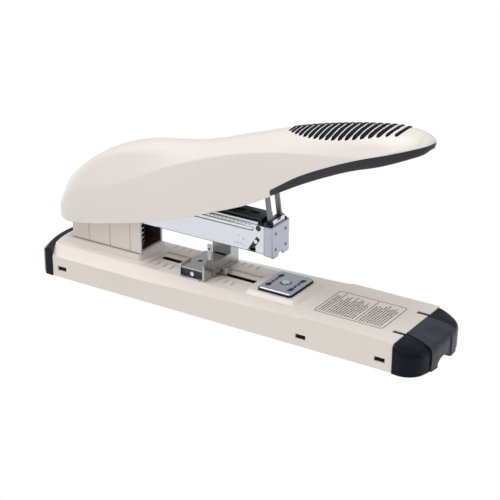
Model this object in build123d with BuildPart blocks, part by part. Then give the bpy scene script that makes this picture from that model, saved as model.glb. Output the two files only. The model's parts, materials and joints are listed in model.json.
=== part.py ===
from build123d import *
import math
import os

os.makedirs("parts", exist_ok=True)

# Heavy-duty desk stapler. Millimetres. +X points to the stapling end, +Z is up.
# The origin is the middle of the anti-slip pad, on the desk.

# ---- driving dimensions ----
SHEET = 1.2                 # steel sheet of the base, pillar and head
PIN_FIT = 0.05              # radial clearance of a pin in its hole

BASE_TOP = 20.0             # flat top of the base
BASE_FOOT = 1.0             # lower rim of the base shell
BASE_HALF = 29.6            # half the base's width
BASE_REAR = -131.0          # rear corner of the shell
BASE_REAR_MID = -139.0      # rear cut at the middle
BASE_FRONT = 121.3          # straight front cut
CAP_REAR = -147.0
CAP_FRONT = 141.0

PLATFORM_X = (9.5, 49.0)    # foot of the raised anvil platform
PLATFORM_HALF = 19.0
PLATFORM_TOP = 22.3
PEDESTAL_X = (-133.0, -69.5)
PEDESTAL_HALF = 15.6
PEDESTAL_TOP = 23.3
LANE_HALF = 8.0             # shallow lane along the guide slot
LANE_DEPTH = 0.8
SLOT_X = (-63.0, 11.4)
SLOT_HALF = 2.1

ANVIL_X = 30.6              # turning centre of the anvil
ANVIL_LENGTH = 23.6
ANVIL_WIDTH = 28.0
ANVIL_TOP = 24.5
ANVIL_SHEET = 1.1
GROOVE_X = 7.9              # crimp grooves, each side of the turning centre
GROOVE = (7.4, 2.8)
GROOVE_DEPTH = 0.75
ANVIL_RIVET_R = 2.0

PIVOT = (-112.0, 60.0)      # main pivot, x and z
PIVOT_R = 4.0
PILLAR_X = (-129.0, -71.6)
PILLAR_HALF = 11.65

HEAD_HALF = 9.75
HEAD_BOTTOM = 44.5
HEAD_TOP = 62.6
HEAD_FRONT = 26.7
MAGAZINE_FRONT = 20.9
CHANNEL_HALF = 8.3
CORE_HALF = 5.6
ROD_Z = 51.5
ROD_R = 1.5

LINK_TOP = (18.7, 91.5)     # pin in the handle lever
LINK_FOOT = (22.6, 64.0)    # pin in the driver
LINK_PIN_R = 0.7
OPEN_FIT = 0.45             # radial clearance of the link eyes on the driver pin
LINK_EYE_R = 1.6            # eye at the foot of a link
LINK_WIDTH = 3.0
LEVER_PIN_R = 1.8
LINK_INNER = 4.6
LINK_THICK = 1.4

LEVER_INNER = 12.3          # lever cheeks run outside the pillar
LEVER_SHEET = 1.5
COVER_HALF = 17.5
COVER_WALL = 2.0
GUIDE_X = -17.0             # face of the paper stop
GUIDE_HALF = 19.3
GUIDE_FLOOR = 20.2


def write_part(builder, name):
    builder.part.label = name
    export_step(builder.part, f"parts/{name}.step")


def box(x, y, z):
    """A private block from its low and high limits along each axis."""
    with BuildPart() as block:
        with Locations(((x[0] + x[1]) / 2, (y[0] + y[1]) / 2, (z[0] + z[1]) / 2)):
            Box(x[1] - x[0], y[1] - y[0], z[1] - z[0])
    return block.part


def rod_y(x, z, radius, y_low, y_high):
    """A round pin along Y, as a private solid."""
    with BuildPart() as rod:
        with BuildSketch(Plane.XZ.offset(-y_high)):
            with Locations((x, z)):
                Circle(radius)
        extrude(amount=y_high - y_low)
    return rod.part


def coil(start, direction, radius, wire, height, turns):
    """A round-wire compression spring that starts at a point and runs along an axis."""
    with BuildPart() as spring:
        with BuildLine():
            path = Helix(
                pitch=height / turns,
                height=height,
                radius=radius,
                center=start,
                direction=direction,
            )
        with BuildSketch(Plane(origin=path @ 0, z_dir=path % 0)):
            Circle(wire / 2)
        sweep(path=path, is_frenet=True)
    return spring.part


# ---- base shell ----
def base_form(inset, front, rear):
    """The base's outer form, moved inwards by the inset, with its long bevels."""
    half = BASE_HALF - inset
    top = BASE_TOP - inset
    # x, height of the bevel's lower edge, distance of its upper edge from the middle
    bevels = ((-160.0, 15.0, 20.0), (-62.0, 15.0, 20.0), (48.0, 18.6, 20.5), (61.0, 19.5, 28.0))
    with BuildPart() as form:
        with BuildSketch(Plane.XY.offset(BASE_FOOT - inset)):
            with BuildLine():
                Polyline((rear, -half), (front, -half), (front, half), (rear, half))
                if inset:
                    Line((rear, half), (rear, -half))
                else:
                    ThreePointArc((rear, half), (BASE_REAR_MID, 0), (rear, -half))
            make_face()
        extrude(amount=top - BASE_FOOT + inset)
        for side in (-1, 1):
            for x, low, inner in bevels:
                with BuildSketch(Plane.YZ.offset(x)):
                    with BuildLine():
                        Polyline(
                            (side * (half + 0.01), low - inset),
                            (side * (inner - inset), top + 0.01),
                            (side * (half + 2), top + 2),
                            close=True,
                        )
                    make_face()
            loft(ruled=True, mode=Mode.SUBTRACT)
    return form.part


def raised_pad(x_range, half, bottom, top, corner, slope):
    """A pressed-up pad with sloping sides and round corners."""
    with BuildPart() as pad:
        with BuildSketch(Plane.XY.offset(bottom)):
            with Locations(((x_range[0] + x_range[1]) / 2, 0)):
                RectangleRounded(x_range[1] - x_range[0], 2 * half, corner)
        extrude(amount=top - bottom, taper=slope)
    return pad.part


WINDOWS_X = (-123.2, 59.2, 112.7)
WINDOW = (7.0, 3.0)
WINDOW_Z = 7.2
MARK_ROWS = ((-64.0, 4), (-12.0, 3))
MARK_PITCH = 5.6
FRONT_SLOT_Y = 15.3
FRONT_SLOT_X = 113.6
FRONT_SLOT_WIDTH = 3.0
FRONT_SLOT_MID = (FRONT_SLOT_X + BASE_FRONT) / 2
FRONT_SLOTS = ((FRONT_SLOT_MID, FRONT_SLOT_Y), (FRONT_SLOT_MID, -FRONT_SLOT_Y))
PILLAR_RIVETS = ((-118.0, 0.0), (-82.0, 0.0))
RIVET_R = 2.0
RIVET_HEAD_R = 3.6
RIVET_HEAD = 0.8            # height of a rivet's head
RIVET_FIT = 0.1

outer_form = base_form(0, BASE_FRONT, BASE_REAR)
inner_form = base_form(SHEET, BASE_FRONT + 1, BASE_REAR - 12)
platform = raised_pad(PLATFORM_X, PLATFORM_HALF, BASE_TOP, PLATFORM_TOP, 5, 50)
pedestal = raised_pad(PEDESTAL_X, PEDESTAL_HALF, BASE_TOP - 0.5, PEDESTAL_TOP, 3, 25)
hollow_x = (PLATFORM_X[0] + 4, PLATFORM_X[1] - 4)
platform_hollow = raised_pad(hollow_x, PLATFORM_HALF - 4, BASE_TOP - 2, PLATFORM_TOP - SHEET, 3, 10)
hollow_x = (PEDESTAL_X[0] + 3, PEDESTAL_X[1] - 3)
pedestal_hollow = raised_pad(hollow_x, PEDESTAL_HALF - 3, BASE_TOP - 2, PEDESTAL_TOP - SHEET, 3, 10)

with BuildPart() as base_shell:
    add(outer_form)
    add(platform)
    add(pedestal)
    add(inner_form, mode=Mode.SUBTRACT)
    add(platform_hollow, mode=Mode.SUBTRACT)
    add(pedestal_hollow, mode=Mode.SUBTRACT)
    # lane for the paper guide, with its slot
    with BuildSketch(Plane.XY.offset(BASE_TOP)):
        with Locations(((SLOT_X[0] + PLATFORM_X[0]) / 2, 0)):
            Rectangle(PLATFORM_X[0] - SLOT_X[0] + 3, 2 * LANE_HALF)
    extrude(amount=-LANE_DEPTH, mode=Mode.SUBTRACT)
    with BuildSketch(Plane.XY.offset(PLATFORM_TOP + 1)):
        with Locations(((SLOT_X[0] + SLOT_X[1]) / 2, 0)):
            SlotOverall(SLOT_X[1] - SLOT_X[0], 2 * SLOT_HALF)
    extrude(amount=-8, mode=Mode.SUBTRACT)
    # scale marks beside the lane, pressed into the sheet
    with BuildSketch(Plane.XY.offset(BASE_TOP)):
        for start, count in MARK_ROWS:
            for number in range(count):
                with Locations((start + number * MARK_PITCH, -11), (start + number * MARK_PITCH, 17.5)):
                    Rectangle(1.0, 6.0)
    extrude(amount=-0.4, mode=Mode.SUBTRACT)
    # side windows for the clips of the caps and the bottom plate
    with BuildSketch(Plane.XZ.offset(-BASE_HALF - 1)):
        with Locations(*[(x, WINDOW_Z) for x in WINDOWS_X]):
            Rectangle(*WINDOW)
    extrude(amount=2 * BASE_HALF + 2, mode=Mode.SUBTRACT)
    # two slots open to the front cut
    with BuildSketch(Plane.XY.offset(BASE_TOP + 1)):
        with Locations(*FRONT_SLOTS):
            Rectangle(BASE_FRONT - FRONT_SLOT_X + 0.02, FRONT_SLOT_WIDTH)
    extrude(amount=-5, mode=Mode.SUBTRACT)
    # rivet holes of the pillar and of the anvil
    with Locations(*[(x, y, PEDESTAL_TOP) for x, y in PILLAR_RIVETS]):
        Hole(RIVET_R + RIVET_FIT, depth=6)
    with Locations((ANVIL_X, 0, PLATFORM_TOP)):
        Hole(ANVIL_RIVET_R + 6 * RIVET_FIT, depth=6)
write_part(base_shell, "base_shell")

# ---- bottom plate, pad and screws ----
PLATE_BOTTOM = 1.2
PLATE_SHEET = 1.6
PLATE_HALF = BASE_HALF - SHEET - 0.2
POST_XY = ((-95, 14), (-95, -14), (90, 14), (90, -14))
POST_R = 4.0
SCREW_R = 1.55
SCREW_HOLE_R = 1.6
SCREW_HEAD_R = 3.0

with BuildPart() as base_bottom_plate:
    with BuildSketch(Plane.XY.offset(PLATE_BOTTOM)):
        with BuildLine():
            Polyline(
                (BASE_REAR, -PLATE_HALF),
                (BASE_FRONT - 0.4, -PLATE_HALF),
                (BASE_FRONT - 0.4, PLATE_HALF),
                (BASE_REAR, PLATE_HALF),
            )
            ThreePointArc((BASE_REAR, PLATE_HALF), (BASE_REAR_MID + 0.4, 0), (BASE_REAR, -PLATE_HALF))
        make_face()
    extrude(amount=PLATE_SHEET)
    # screw posts that reach up to the underside of the top
    with BuildSketch(Plane.XY.offset(PLATE_BOTTOM)):
        with Locations(*POST_XY):
            Circle(POST_R)
    extrude(amount=BASE_TOP - SHEET - PLATE_BOTTOM - 0.02)
    with BuildSketch(Plane.XY.offset(PLATE_BOTTOM)):
        with Locations(*POST_XY):
            Circle(SCREW_HOLE_R)
    extrude(amount=14, mode=Mode.SUBTRACT)
    # clips behind the middle windows
    for side in (-1, 1):
        with BuildSketch(Plane.XY.offset(PLATE_BOTTOM)):
            with Locations((WINDOWS_X[1], side * (BASE_HALF - SHEET - 1.2))):
                Rectangle(12, 1.6)
        extrude(amount=10)
write_part(base_bottom_plate, "base_bottom_plate")

with BuildPart() as base_pad:
    with BuildSketch(Plane.XY):
        RectangleRounded(170, 44, 5)
    extrude(amount=PLATE_BOTTOM)
write_part(base_pad, "base_pad")

with BuildPart() as base_screws:
    with BuildSketch(Plane.XY.offset(PLATE_BOTTOM)):
        with Locations(*POST_XY):
            Circle(SCREW_R)
    extrude(amount=10)
    with BuildSketch(Plane.XY.offset(PLATE_BOTTOM - 1.0)):
        with Locations(*POST_XY):
            Circle(SCREW_HEAD_R)
    extrude(amount=1.0)
write_part(base_screws, "base_screws")

# ---- end caps ----
CAP_FOOT = 0.8
REAR_ARC_X = -85.1          # centre of the rear cap's outer arc

with BuildPart() as rear_end_cap:
    with BuildSketch(Plane.XY.offset(CAP_FOOT)):
        with BuildLine():
            ThreePointArc((BASE_REAR, BASE_HALF + 0.4), (BASE_REAR_MID, 0), (BASE_REAR, -BASE_HALF - 0.4))
            Polyline((BASE_REAR, -BASE_HALF - 0.4), (-137, -BASE_HALF), (-141.5, -25.5))
            ThreePointArc((-141.5, -25.5), (CAP_REAR, 0), (-141.5, 25.5))
            Polyline((-141.5, 25.5), (-137, BASE_HALF), (BASE_REAR, BASE_HALF + 0.4))
        make_face()
    extrude(amount=BASE_TOP - CAP_FOOT)
    # sloping rim, turned about the centre of the rear arc
    with BuildSketch(Plane.XZ):
        with BuildLine():
            Polyline((-147.2, 16), (-143.2, BASE_TOP + 0.1), (-150, BASE_TOP + 0.1), (-150, 16), close=True)
        make_face()
    revolve(axis=Axis((REAR_ARC_X, 0, 0), (0, 0, 1)), revolution_arc=360, mode=Mode.SUBTRACT)
    # tongues that clip into the rear windows of the shell
    for side in (-1, 1):
        with BuildSketch(Plane.XY.offset(3)):
            with Locations((-126, side * (BASE_HALF - SHEET - 1.2))):
                Rectangle(18, 1.8)
        extrude(amount=9)
write_part(rear_end_cap, "rear_end_cap")

BAND_BACK = 13.0            # half-width of the raised middle band at the shell
BAND_FRONT = 17.0           # and at the front
BAND_TOP = 19.9

# layers of the cap: height of each layer's foot and the slope of its sides
CAP_LAYERS = ((CAP_FOOT, 0), (13.8, 18), (16.6, 52))
CAP_SHOULDER = 18.4


def cap_layer(foot, top, slope, shrink):
    """One layer of the front cap's outer form, with sloping sides."""
    with BuildPart() as layer:
        with BuildSketch(Plane.XY.offset(foot)):
            with BuildLine():
                Polyline((110, 31.2), (110, -31.2), (126, -31.4))
                ThreePointArc((126, -31.4), (134.2, -28.0), (138.6, -17.5))
                ThreePointArc((138.6, -17.5), (140.4, 0), (138.6, 17.5))
                ThreePointArc((138.6, 17.5), (134.2, 28.0), (126, 31.4))
                Line((126, 31.4), (110, 31.2))
            make_face()
            if shrink:
                offset(amount=-shrink, mode=Mode.REPLACE)
        extrude(amount=top - foot, taper=slope)
    return layer.part


cap_forms = []
shrink = 0.0
for (foot, slope), top in zip(CAP_LAYERS, (CAP_LAYERS[1][0], CAP_LAYERS[2][0], CAP_SHOULDER)):
    cap_forms.append(cap_layer(foot, top, slope, shrink))
    shrink += (top - foot) * math.tan(math.radians(slope))
shell_side = box((100, BASE_FRONT), (-40, 40), (-5, 30))

with BuildPart() as front_end_cap:
    for form in cap_forms:
        add(form)
    add(shell_side, mode=Mode.SUBTRACT)
    # raised middle band that falls away to the front
    with BuildSketch(Plane.XZ.offset(-BAND_FRONT)):
        with BuildLine():
            Polyline((BASE_FRONT, CAP_FOOT), (CAP_FRONT - 0.6, CAP_FOOT), (CAP_FRONT, 8.0), (139.0, 14.0))
            ThreePointArc((139.0, 14.0), (136.4, 17.6), (131.0, 19.2))
            Polyline((131.0, 19.2), (BASE_FRONT, BAND_TOP), (BASE_FRONT, CAP_FOOT))
        make_face()
    extrude(amount=2 * BAND_FRONT)
    for side in (-1, 1):
        with BuildSketch(Plane.XY.offset(18.4)):
            with BuildLine():
                Polyline(
                    (BASE_FRONT - 1, side * BAND_BACK),
                    (CAP_FRONT + 1, side * BAND_FRONT),
                    (CAP_FRONT + 1, side * (BAND_FRONT + 3)),
                    (BASE_FRONT - 1, side * (BAND_FRONT + 3)),
                    close=True,
                )
            make_face()
        extrude(amount=3, mode=Mode.SUBTRACT)
    # thumb recess on the top and arched notch at the foot
    with Locations((143, 0, 34.5)):
        Sphere(18, mode=Mode.SUBTRACT)
    with BuildSketch(Plane.YZ.offset(CAP_FRONT + 1)):
        with Locations((0, CAP_FOOT)):
            Ellipse(8, 4.6)
    extrude(amount=-9, mode=Mode.SUBTRACT)
    # lugs in the two top slots and tongues behind the side windows
    for side in (-1, 1):
        with BuildSketch(Plane.XY.offset(BASE_TOP - 0.4)):
            with Locations((FRONT_SLOT_MID + 0.2, side * FRONT_SLOT_Y)):
                Rectangle(BASE_FRONT - FRONT_SLOT_X - 0.4, FRONT_SLOT_WIDTH - 0.3)
        extrude(amount=-4)
        with BuildSketch(Plane.XY.offset(3)):
            with Locations((115, side * (BASE_HALF - SHEET - 1.2))):
                Rectangle(14, 1.8)
        extrude(amount=9)
        with BuildSketch(Plane.XY.offset(14.2)):
            with Locations((118, side * FRONT_SLOT_Y)):
                Rectangle(8, 6)
        extrude(amount=1.6)
write_part(front_end_cap, "front_end_cap")

# ---- anvil: tray, turning plate and rivet ----
def anvil_outline(length, width, corner):
    with Locations((ANVIL_X, 0)):
        RectangleRounded(length, width, corner)


with BuildPart() as anvil_tray:
    with BuildSketch(Plane.XY.offset(PLATFORM_TOP)):
        anvil_outline(ANVIL_LENGTH + 0.8, ANVIL_WIDTH + 0.8, 2.4)
    extrude(amount=ANVIL_TOP - ANVIL_SHEET - PLATFORM_TOP)
    with Locations((ANVIL_X, 0, ANVIL_TOP)):
        Hole(ANVIL_RIVET_R + RIVET_FIT, depth=6)
write_part(anvil_tray, "anvil_tray")

with BuildPart() as anvil_plate:
    with BuildSketch(Plane.XY.offset(ANVIL_TOP - ANVIL_SHEET)):
        anvil_outline(ANVIL_LENGTH, ANVIL_WIDTH, 2.0)
    extrude(amount=ANVIL_SHEET)
    chamfer(anvil_plate.faces().sort_by(Axis.Z)[-1].edges(), length=0.3)
    # two pairs of crimp grooves: one pair turns the legs in, the other turns them out
    with BuildSketch(Plane.XY.offset(ANVIL_TOP)):
        with Locations((ANVIL_X - GROOVE_X, 4.4), (ANVIL_X - GROOVE_X, -4.4)):
            SlotOverall(*GROOVE, rotation=90)
        with Locations((ANVIL_X + GROOVE_X, 6.0), (ANVIL_X + GROOVE_X, -6.0)):
            SlotOverall(*GROOVE, rotation=90)
    extrude(amount=-GROOVE_DEPTH, mode=Mode.SUBTRACT)
    with Locations((ANVIL_X, 0, ANVIL_TOP)):
        Hole(ANVIL_RIVET_R + PIN_FIT, depth=6)
write_part(anvil_plate, "anvil_plate")

with BuildPart() as anvil_rivet:
    with BuildSketch(Plane.XY.offset(PLATFORM_TOP - SHEET - 1.0)):
        with Locations((ANVIL_X, 0)):
            Circle(2 * ANVIL_RIVET_R)
    extrude(amount=0.9)
    with BuildSketch(Plane.XY.offset(PLATFORM_TOP - SHEET - 0.5)):
        with Locations((ANVIL_X, 0)):
            Circle(ANVIL_RIVET_R)
    extrude(amount=ANVIL_TOP - PLATFORM_TOP + SHEET + 0.6)
    with BuildSketch(Plane.XY.offset(ANVIL_TOP + 0.05)):
        with Locations((ANVIL_X, 0)):
            Circle(2.7)
    extrude(amount=0.35)
write_part(anvil_rivet, "anvil_rivet")


# ---- pillar bracket that carries the main pivot ----
GROOVES_X = (-113.7, -96.5, -80.2)
pivot_hole = rod_y(PIVOT[0], PIVOT[1], PIVOT_R + PIN_FIT, -20, 20)

with BuildPart() as pillar_bracket:
    with BuildSketch(Plane.XZ.offset(-PILLAR_HALF)):
        with BuildLine():
            Polyline(
                (PILLAR_X[0], PEDESTAL_TOP),
                (PILLAR_X[1], PEDESTAL_TOP),
                (PILLAR_X[1], 48),
                (-88, 56),
                (-104, 67.5),
                (-120, 67.5),
                (PILLAR_X[0], 56),
                close=True,
            )
        make_face()
    extrude(amount=2 * PILLAR_HALF)
    fillet(pillar_bracket.edges().filter_by(Axis.Z).group_by(Axis.X)[0], radius=3)
    # hollow inside, open at the front and the top
    with BuildSketch(Plane.XY.offset(PEDESTAL_TOP + SHEET)):
        with Locations(((PILLAR_X[0] + SHEET + PILLAR_X[1] + 5) / 2, 0)):
            RectangleRounded(PILLAR_X[1] + 5 - PILLAR_X[0] - SHEET, 2 * (PILLAR_HALF - SHEET), 1.5)
    extrude(amount=60, mode=Mode.SUBTRACT)
    # folded stiffening grooves on both cheeks
    for side in (-1, 1):
        with BuildSketch(Plane.XZ.offset(side * PILLAR_HALF)):
            with Locations(*[(x, 40) for x in GROOVES_X]):
                Rectangle(0.7, 60)
        extrude(amount=-side * 0.35, mode=Mode.SUBTRACT)
    add(pivot_hole, mode=Mode.SUBTRACT)
    with Locations(*[(x, y, PEDESTAL_TOP + SHEET) for x, y in PILLAR_RIVETS]):
        Hole(RIVET_R + RIVET_FIT, depth=3)
write_part(pillar_bracket, "pillar_bracket")


def mirrored_walls(outline, inner, outer):
    """Two flat walls with the same XZ outline, one each side of the middle plane."""
    with BuildPart() as walls:
        with BuildSketch(Plane.XZ.offset(inner)):
            with BuildLine():
                Polyline(*outline, close=True)
            make_face()
        extrude(amount=outer - inner)
        mirror(about=Plane.XZ)
    return walls.part


with BuildPart() as pillar_rivets:
    for foot in (PEDESTAL_TOP - SHEET - RIVET_HEAD, PEDESTAL_TOP + SHEET):
        with BuildSketch(Plane.XY.offset(foot)):
            with Locations(*PILLAR_RIVETS):
                Circle(RIVET_HEAD_R)
        extrude(amount=RIVET_HEAD)
    with BuildSketch(Plane.XY.offset(PEDESTAL_TOP - SHEET - RIVET_HEAD / 2)):
        with Locations(*PILLAR_RIVETS):
            Circle(RIVET_R)
    extrude(amount=2 * SHEET + RIVET_HEAD)
write_part(pillar_rivets, "pillar_rivets")

# ---- main pivot: pin, heads and washers ----
PIVOT_REACH = LEVER_INNER + LEVER_SHEET + 0.2

with BuildPart() as main_pivot_pin:
    with BuildSketch(Plane.XZ.offset(-PIVOT_REACH)):
        with Locations(PIVOT):
            Circle(PIVOT_R)
    extrude(amount=2 * PIVOT_REACH)
    for side in (-1, 1):
        with BuildSketch(Plane.XZ.offset(side * PIVOT_REACH)):
            with Locations(PIVOT):
                Circle(PIVOT_R + 1.5)
        extrude(amount=side * 0.8)
write_part(main_pivot_pin, "main_pivot_pin")


def washer_pair(inner, thickness, radius):
    """Two washers round the pivot, their inner faces at the same distance from the middle."""
    with BuildPart() as washers:
        for side in (-1, 1):
            with BuildSketch(Plane.XZ.offset(side * inner)):
                with Locations(PIVOT):
                    Circle(radius)
                    Circle(PIVOT_R + PIN_FIT, mode=Mode.SUBTRACT)
            extrude(amount=side * thickness)
    return washers


write_part(washer_pair(HEAD_HALF + 0.1, 0.5, 7), "head_washers")
write_part(washer_pair(PILLAR_HALF + 0.1, 0.45, 7), "lever_washers")

# ---- head housing: two cheeks and a roof over the magazine ----
HEAD_OUTLINE = (
    (-95, HEAD_BOTTOM),
    (HEAD_FRONT - 1.4, HEAD_BOTTOM),
    (HEAD_FRONT - 1.4, HEAD_TOP),
    (-97, HEAD_TOP),
    (-104, 67.5),
    (-118, 67.5),
    (-121, 64),
    (-121, 54),
)
SIDE_SLOT = (-68.0, 13.3, 58.0, 61.0)    # x from, x to, z from, z to
LATCH_TOP = (16.7, 54.3)
LATCH_FOOT = (11.2, 46.2)
ROOF_FRONT = 17.2
STUD_R = 1.3

roof = box((-70, ROOF_FRONT), (-HEAD_HALF + 0.1, HEAD_HALF - 0.1), (HEAD_TOP - SHEET, HEAD_TOP))
cheeks = mirrored_walls(HEAD_OUTLINE, HEAD_HALF - SHEET, HEAD_HALF)

with BuildPart() as head_housing:
    add(cheeks)
    add(roof)
    # long slots, round holes and the bent latch slots in the cheeks
    with BuildSketch(Plane.XZ.offset(-HEAD_HALF - 1)):
        with Locations(((SIDE_SLOT[0] + SIDE_SLOT[1]) / 2, (SIDE_SLOT[2] + SIDE_SLOT[3]) / 2)):
            SlotOverall(SIDE_SLOT[1] - SIDE_SLOT[0], SIDE_SLOT[3] - SIDE_SLOT[2] - 0.4)
        with Locations((16.9, 60.6)):
            Circle(1.6)
        with BuildLine():
            latch_path = Polyline(LATCH_TOP, LATCH_FOOT, (LATCH_FOOT[0] + 3.5, LATCH_FOOT[1]))
        trace(latch_path, line_width=2 * STUD_R + 0.4)
    extrude(amount=2 * HEAD_HALF + 2, mode=Mode.SUBTRACT)
    add(pivot_hole, mode=Mode.SUBTRACT)
    # slots in the roof for the tabs of the top cover
    with BuildSketch(Plane.XY.offset(HEAD_TOP + 1)):
        with Locations((-50, 0), (-10, 0)):
            Rectangle(8, 3)
    extrude(amount=-4, mode=Mode.SUBTRACT)
write_part(head_housing, "head_housing")

# ---- head front plate: a face wrapped round the front of the cheeks ----
WRAP_SHEET = 0.8
WRAP_REAR = 21.0
WRAP_HALF = HEAD_HALF + 0.05 + WRAP_SHEET
WRAP_BOTTOM = 42.4
FACE_RIVETS = ((-5.6, 47.6), (5.6, 47.6), (-5.6, 58.0), (5.6, 58.0))
FACE_RIVET_R = 0.78

with BuildPart() as head_front_plate:
    with BuildSketch(Plane.XY.offset(WRAP_BOTTOM)):
        with Locations(((WRAP_REAR + HEAD_FRONT) / 2, 0)):
            Rectangle(HEAD_FRONT - WRAP_REAR, 2 * WRAP_HALF)
        with Locations(((WRAP_REAR + HEAD_FRONT - 1.2) / 2, 0)):
            Rectangle(HEAD_FRONT - WRAP_REAR - 1.2, 2 * WRAP_HALF - 2 * WRAP_SHEET, mode=Mode.SUBTRACT)
    extrude(amount=HEAD_TOP - WRAP_BOTTOM + 0.4)
    fillet(head_front_plate.edges().filter_by(Axis.Z).group_by(Axis.X)[-1], radius=1.6)
    # sloping foot corners and the middle notch
    with BuildSketch(Plane.YZ.offset(WRAP_REAR - 1)):
        with BuildLine():
            Polyline(
                (-3.2, WRAP_BOTTOM - 1),
                (-2.2, WRAP_BOTTOM + 2.2),
                (2.2, WRAP_BOTTOM + 2.2),
                (3.2, WRAP_BOTTOM - 1),
                close=True,
            )
        make_face()
        for side in (-1, 1):
            with BuildLine():
                Polyline(
                    (side * 7.4, WRAP_BOTTOM - 1),
                    (side * 12, WRAP_BOTTOM - 1),
                    (side * 12, WRAP_BOTTOM + 3),
                    close=True,
                )
            make_face()
    extrude(amount=HEAD_FRONT - WRAP_REAR + 2, mode=Mode.SUBTRACT)
    with BuildSketch(Plane.YZ.offset(HEAD_FRONT - 2)):
        with Locations(*FACE_RIVETS):
            Circle(FACE_RIVET_R + 0.02)
    extrude(amount=3, mode=Mode.SUBTRACT)
write_part(head_front_plate, "head_front_plate")

# four flush rivets in the face
with BuildPart() as front_plate_rivets:
    with BuildSketch(Plane.YZ.offset(HEAD_FRONT - 1.2)):
        with Locations(*FACE_RIVETS):
            Circle(FACE_RIVET_R)
    extrude(amount=1.3)
write_part(front_plate_rivets, "front_plate_rivets")

# ---- black follower cover on the roof ----
COVER_BAR_HALF = 6.6

with BuildPart() as head_top_cover:
    with BuildSketch(Plane.XY.offset(HEAD_TOP)):
        with Locations(((-70 + ROOF_FRONT) / 2, 0)):
            RectangleRounded(ROOF_FRONT + 70, 2 * COVER_BAR_HALF, 1.5)
    extrude(amount=3.6)
    with BuildSketch(Plane.XY.offset(HEAD_TOP + 3.6)):
        with Locations((-2, 0), (8, 0)):
            SlotOverall(7, 2.6)
        with Locations((-36, 0)):
            SlotOverall(30, 4)
    extrude(amount=-1.4, mode=Mode.SUBTRACT)
    with BuildSketch(Plane.XY.offset(HEAD_TOP)):
        with Locations((-50, 0), (-10, 0)):
            Rectangle(7.6, 2.6)
    extrude(amount=-SHEET)
write_part(head_top_cover, "head_top_cover")

# ---- magazine: channel, core rail, pusher rod, spring and pusher ----
CHANNEL_REAR = -92.0
CHANNEL_FLOOR = 44.7
CHANNEL_TOP = 60.9
CORE_TOP = 57.4
CORE_REAR = -90.0
CORE_FRONT = 20.3           # the links pass in front of the core
THIN = 0.9
PUSHER_X = (8.0, 18.8)

with BuildPart() as magazine_channel:
    with BuildSketch(Plane.YZ.offset(CHANNEL_REAR)):
        with Locations((0, (CHANNEL_FLOOR + CHANNEL_TOP) / 2)):
            Rectangle(2 * CHANNEL_HALF, CHANNEL_TOP - CHANNEL_FLOOR)
        with Locations((0, (CHANNEL_FLOOR + CHANNEL_TOP) / 2 + THIN)):
            Rectangle(2 * (CHANNEL_HALF - THIN), CHANNEL_TOP - CHANNEL_FLOOR, mode=Mode.SUBTRACT)
    extrude(amount=MAGAZINE_FRONT - CHANNEL_REAR)
write_part(magazine_channel, "magazine_channel")

with BuildPart() as latch_studs:
    for side in (-1, 1):
        with BuildSketch(Plane.XZ.offset(side * CHANNEL_HALF)):
            with Locations((LATCH_TOP[0] - 1.6, LATCH_TOP[1] - 2.4)):
                Circle(STUD_R)
        extrude(amount=side * 2.1)
write_part(latch_studs, "latch_studs")

with BuildPart() as staple_core:
    with BuildSketch(Plane.YZ.offset(CORE_REAR)):
        with Locations((0, (CHANNEL_FLOOR + THIN + CORE_TOP) / 2)):
            Rectangle(2 * CORE_HALF, CORE_TOP - CHANNEL_FLOOR - THIN)
        with Locations((0, (CHANNEL_FLOOR + THIN + CORE_TOP) / 2 - 1)):
            Rectangle(2 * (CORE_HALF - 1), CORE_TOP - CHANNEL_FLOOR - THIN, mode=Mode.SUBTRACT)
    extrude(amount=CORE_FRONT - CORE_REAR)
    # end walls that hold the pusher rod
    for x in (CORE_REAR, CORE_FRONT - 1.2):
        with BuildSketch(Plane.YZ.offset(x)):
            with Locations((0, ROD_Z)):
                Rectangle(2 * CORE_HALF - 1, 11.4)
        extrude(amount=1.2)
    with BuildSketch(Plane.YZ.offset(CORE_REAR - 1)):
        with Locations((0, ROD_Z)):
            Circle(ROD_R + PIN_FIT)
    extrude(amount=CORE_FRONT - CORE_REAR + 2, mode=Mode.SUBTRACT)
    # slot for the pusher's tab
    with BuildSketch(Plane.XY.offset(CORE_TOP + 1)):
        with Locations(((CORE_REAR + 3 + CORE_FRONT - 1.2) / 2, 0)):
            Rectangle(CORE_FRONT - 1.2 - CORE_REAR - 3, 3.2)
    extrude(amount=-3, mode=Mode.SUBTRACT)
write_part(staple_core, "staple_core")

with BuildPart() as pusher_rod:
    with BuildSketch(Plane.YZ.offset(CORE_REAR - 1.5)):
        with Locations((0, ROD_Z)):
            Circle(ROD_R)
    extrude(amount=CORE_FRONT - CORE_REAR + 1.5)
    with BuildSketch(Plane.YZ.offset(CORE_REAR - 1.5)):
        with Locations((0, ROD_Z)):
            Circle(2.4)
    extrude(amount=-1)
write_part(pusher_rod, "pusher_rod")

with BuildPart() as staple_pusher:
    with BuildSketch(Plane.YZ.offset(PUSHER_X[0])):
        with Locations((0, 53.2)):
            Rectangle(2 * 7.2, 12.4)
        with Locations((0, (CHANNEL_FLOOR + CORE_TOP) / 2 + 0.06)):
            Rectangle(2 * (CORE_HALF + 0.12), CORE_TOP - CHANNEL_FLOOR, mode=Mode.SUBTRACT)
    extrude(amount=PUSHER_X[1] - PUSHER_X[0])
    # tab through the core, with a ring on the rod
    with BuildSketch(Plane.YZ.offset(PUSHER_X[0] + 1)):
        with Locations((0, (ROD_Z + CORE_TOP + 0.5) / 2)):
            Rectangle(2.8, CORE_TOP + 0.5 - ROD_Z)
        with Locations((0, ROD_Z)):
            Circle(3.4)
        with Locations((0, ROD_Z)):
            Circle(ROD_R + PIN_FIT, mode=Mode.SUBTRACT)
    extrude(amount=8)
write_part(staple_pusher, "staple_pusher")

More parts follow.
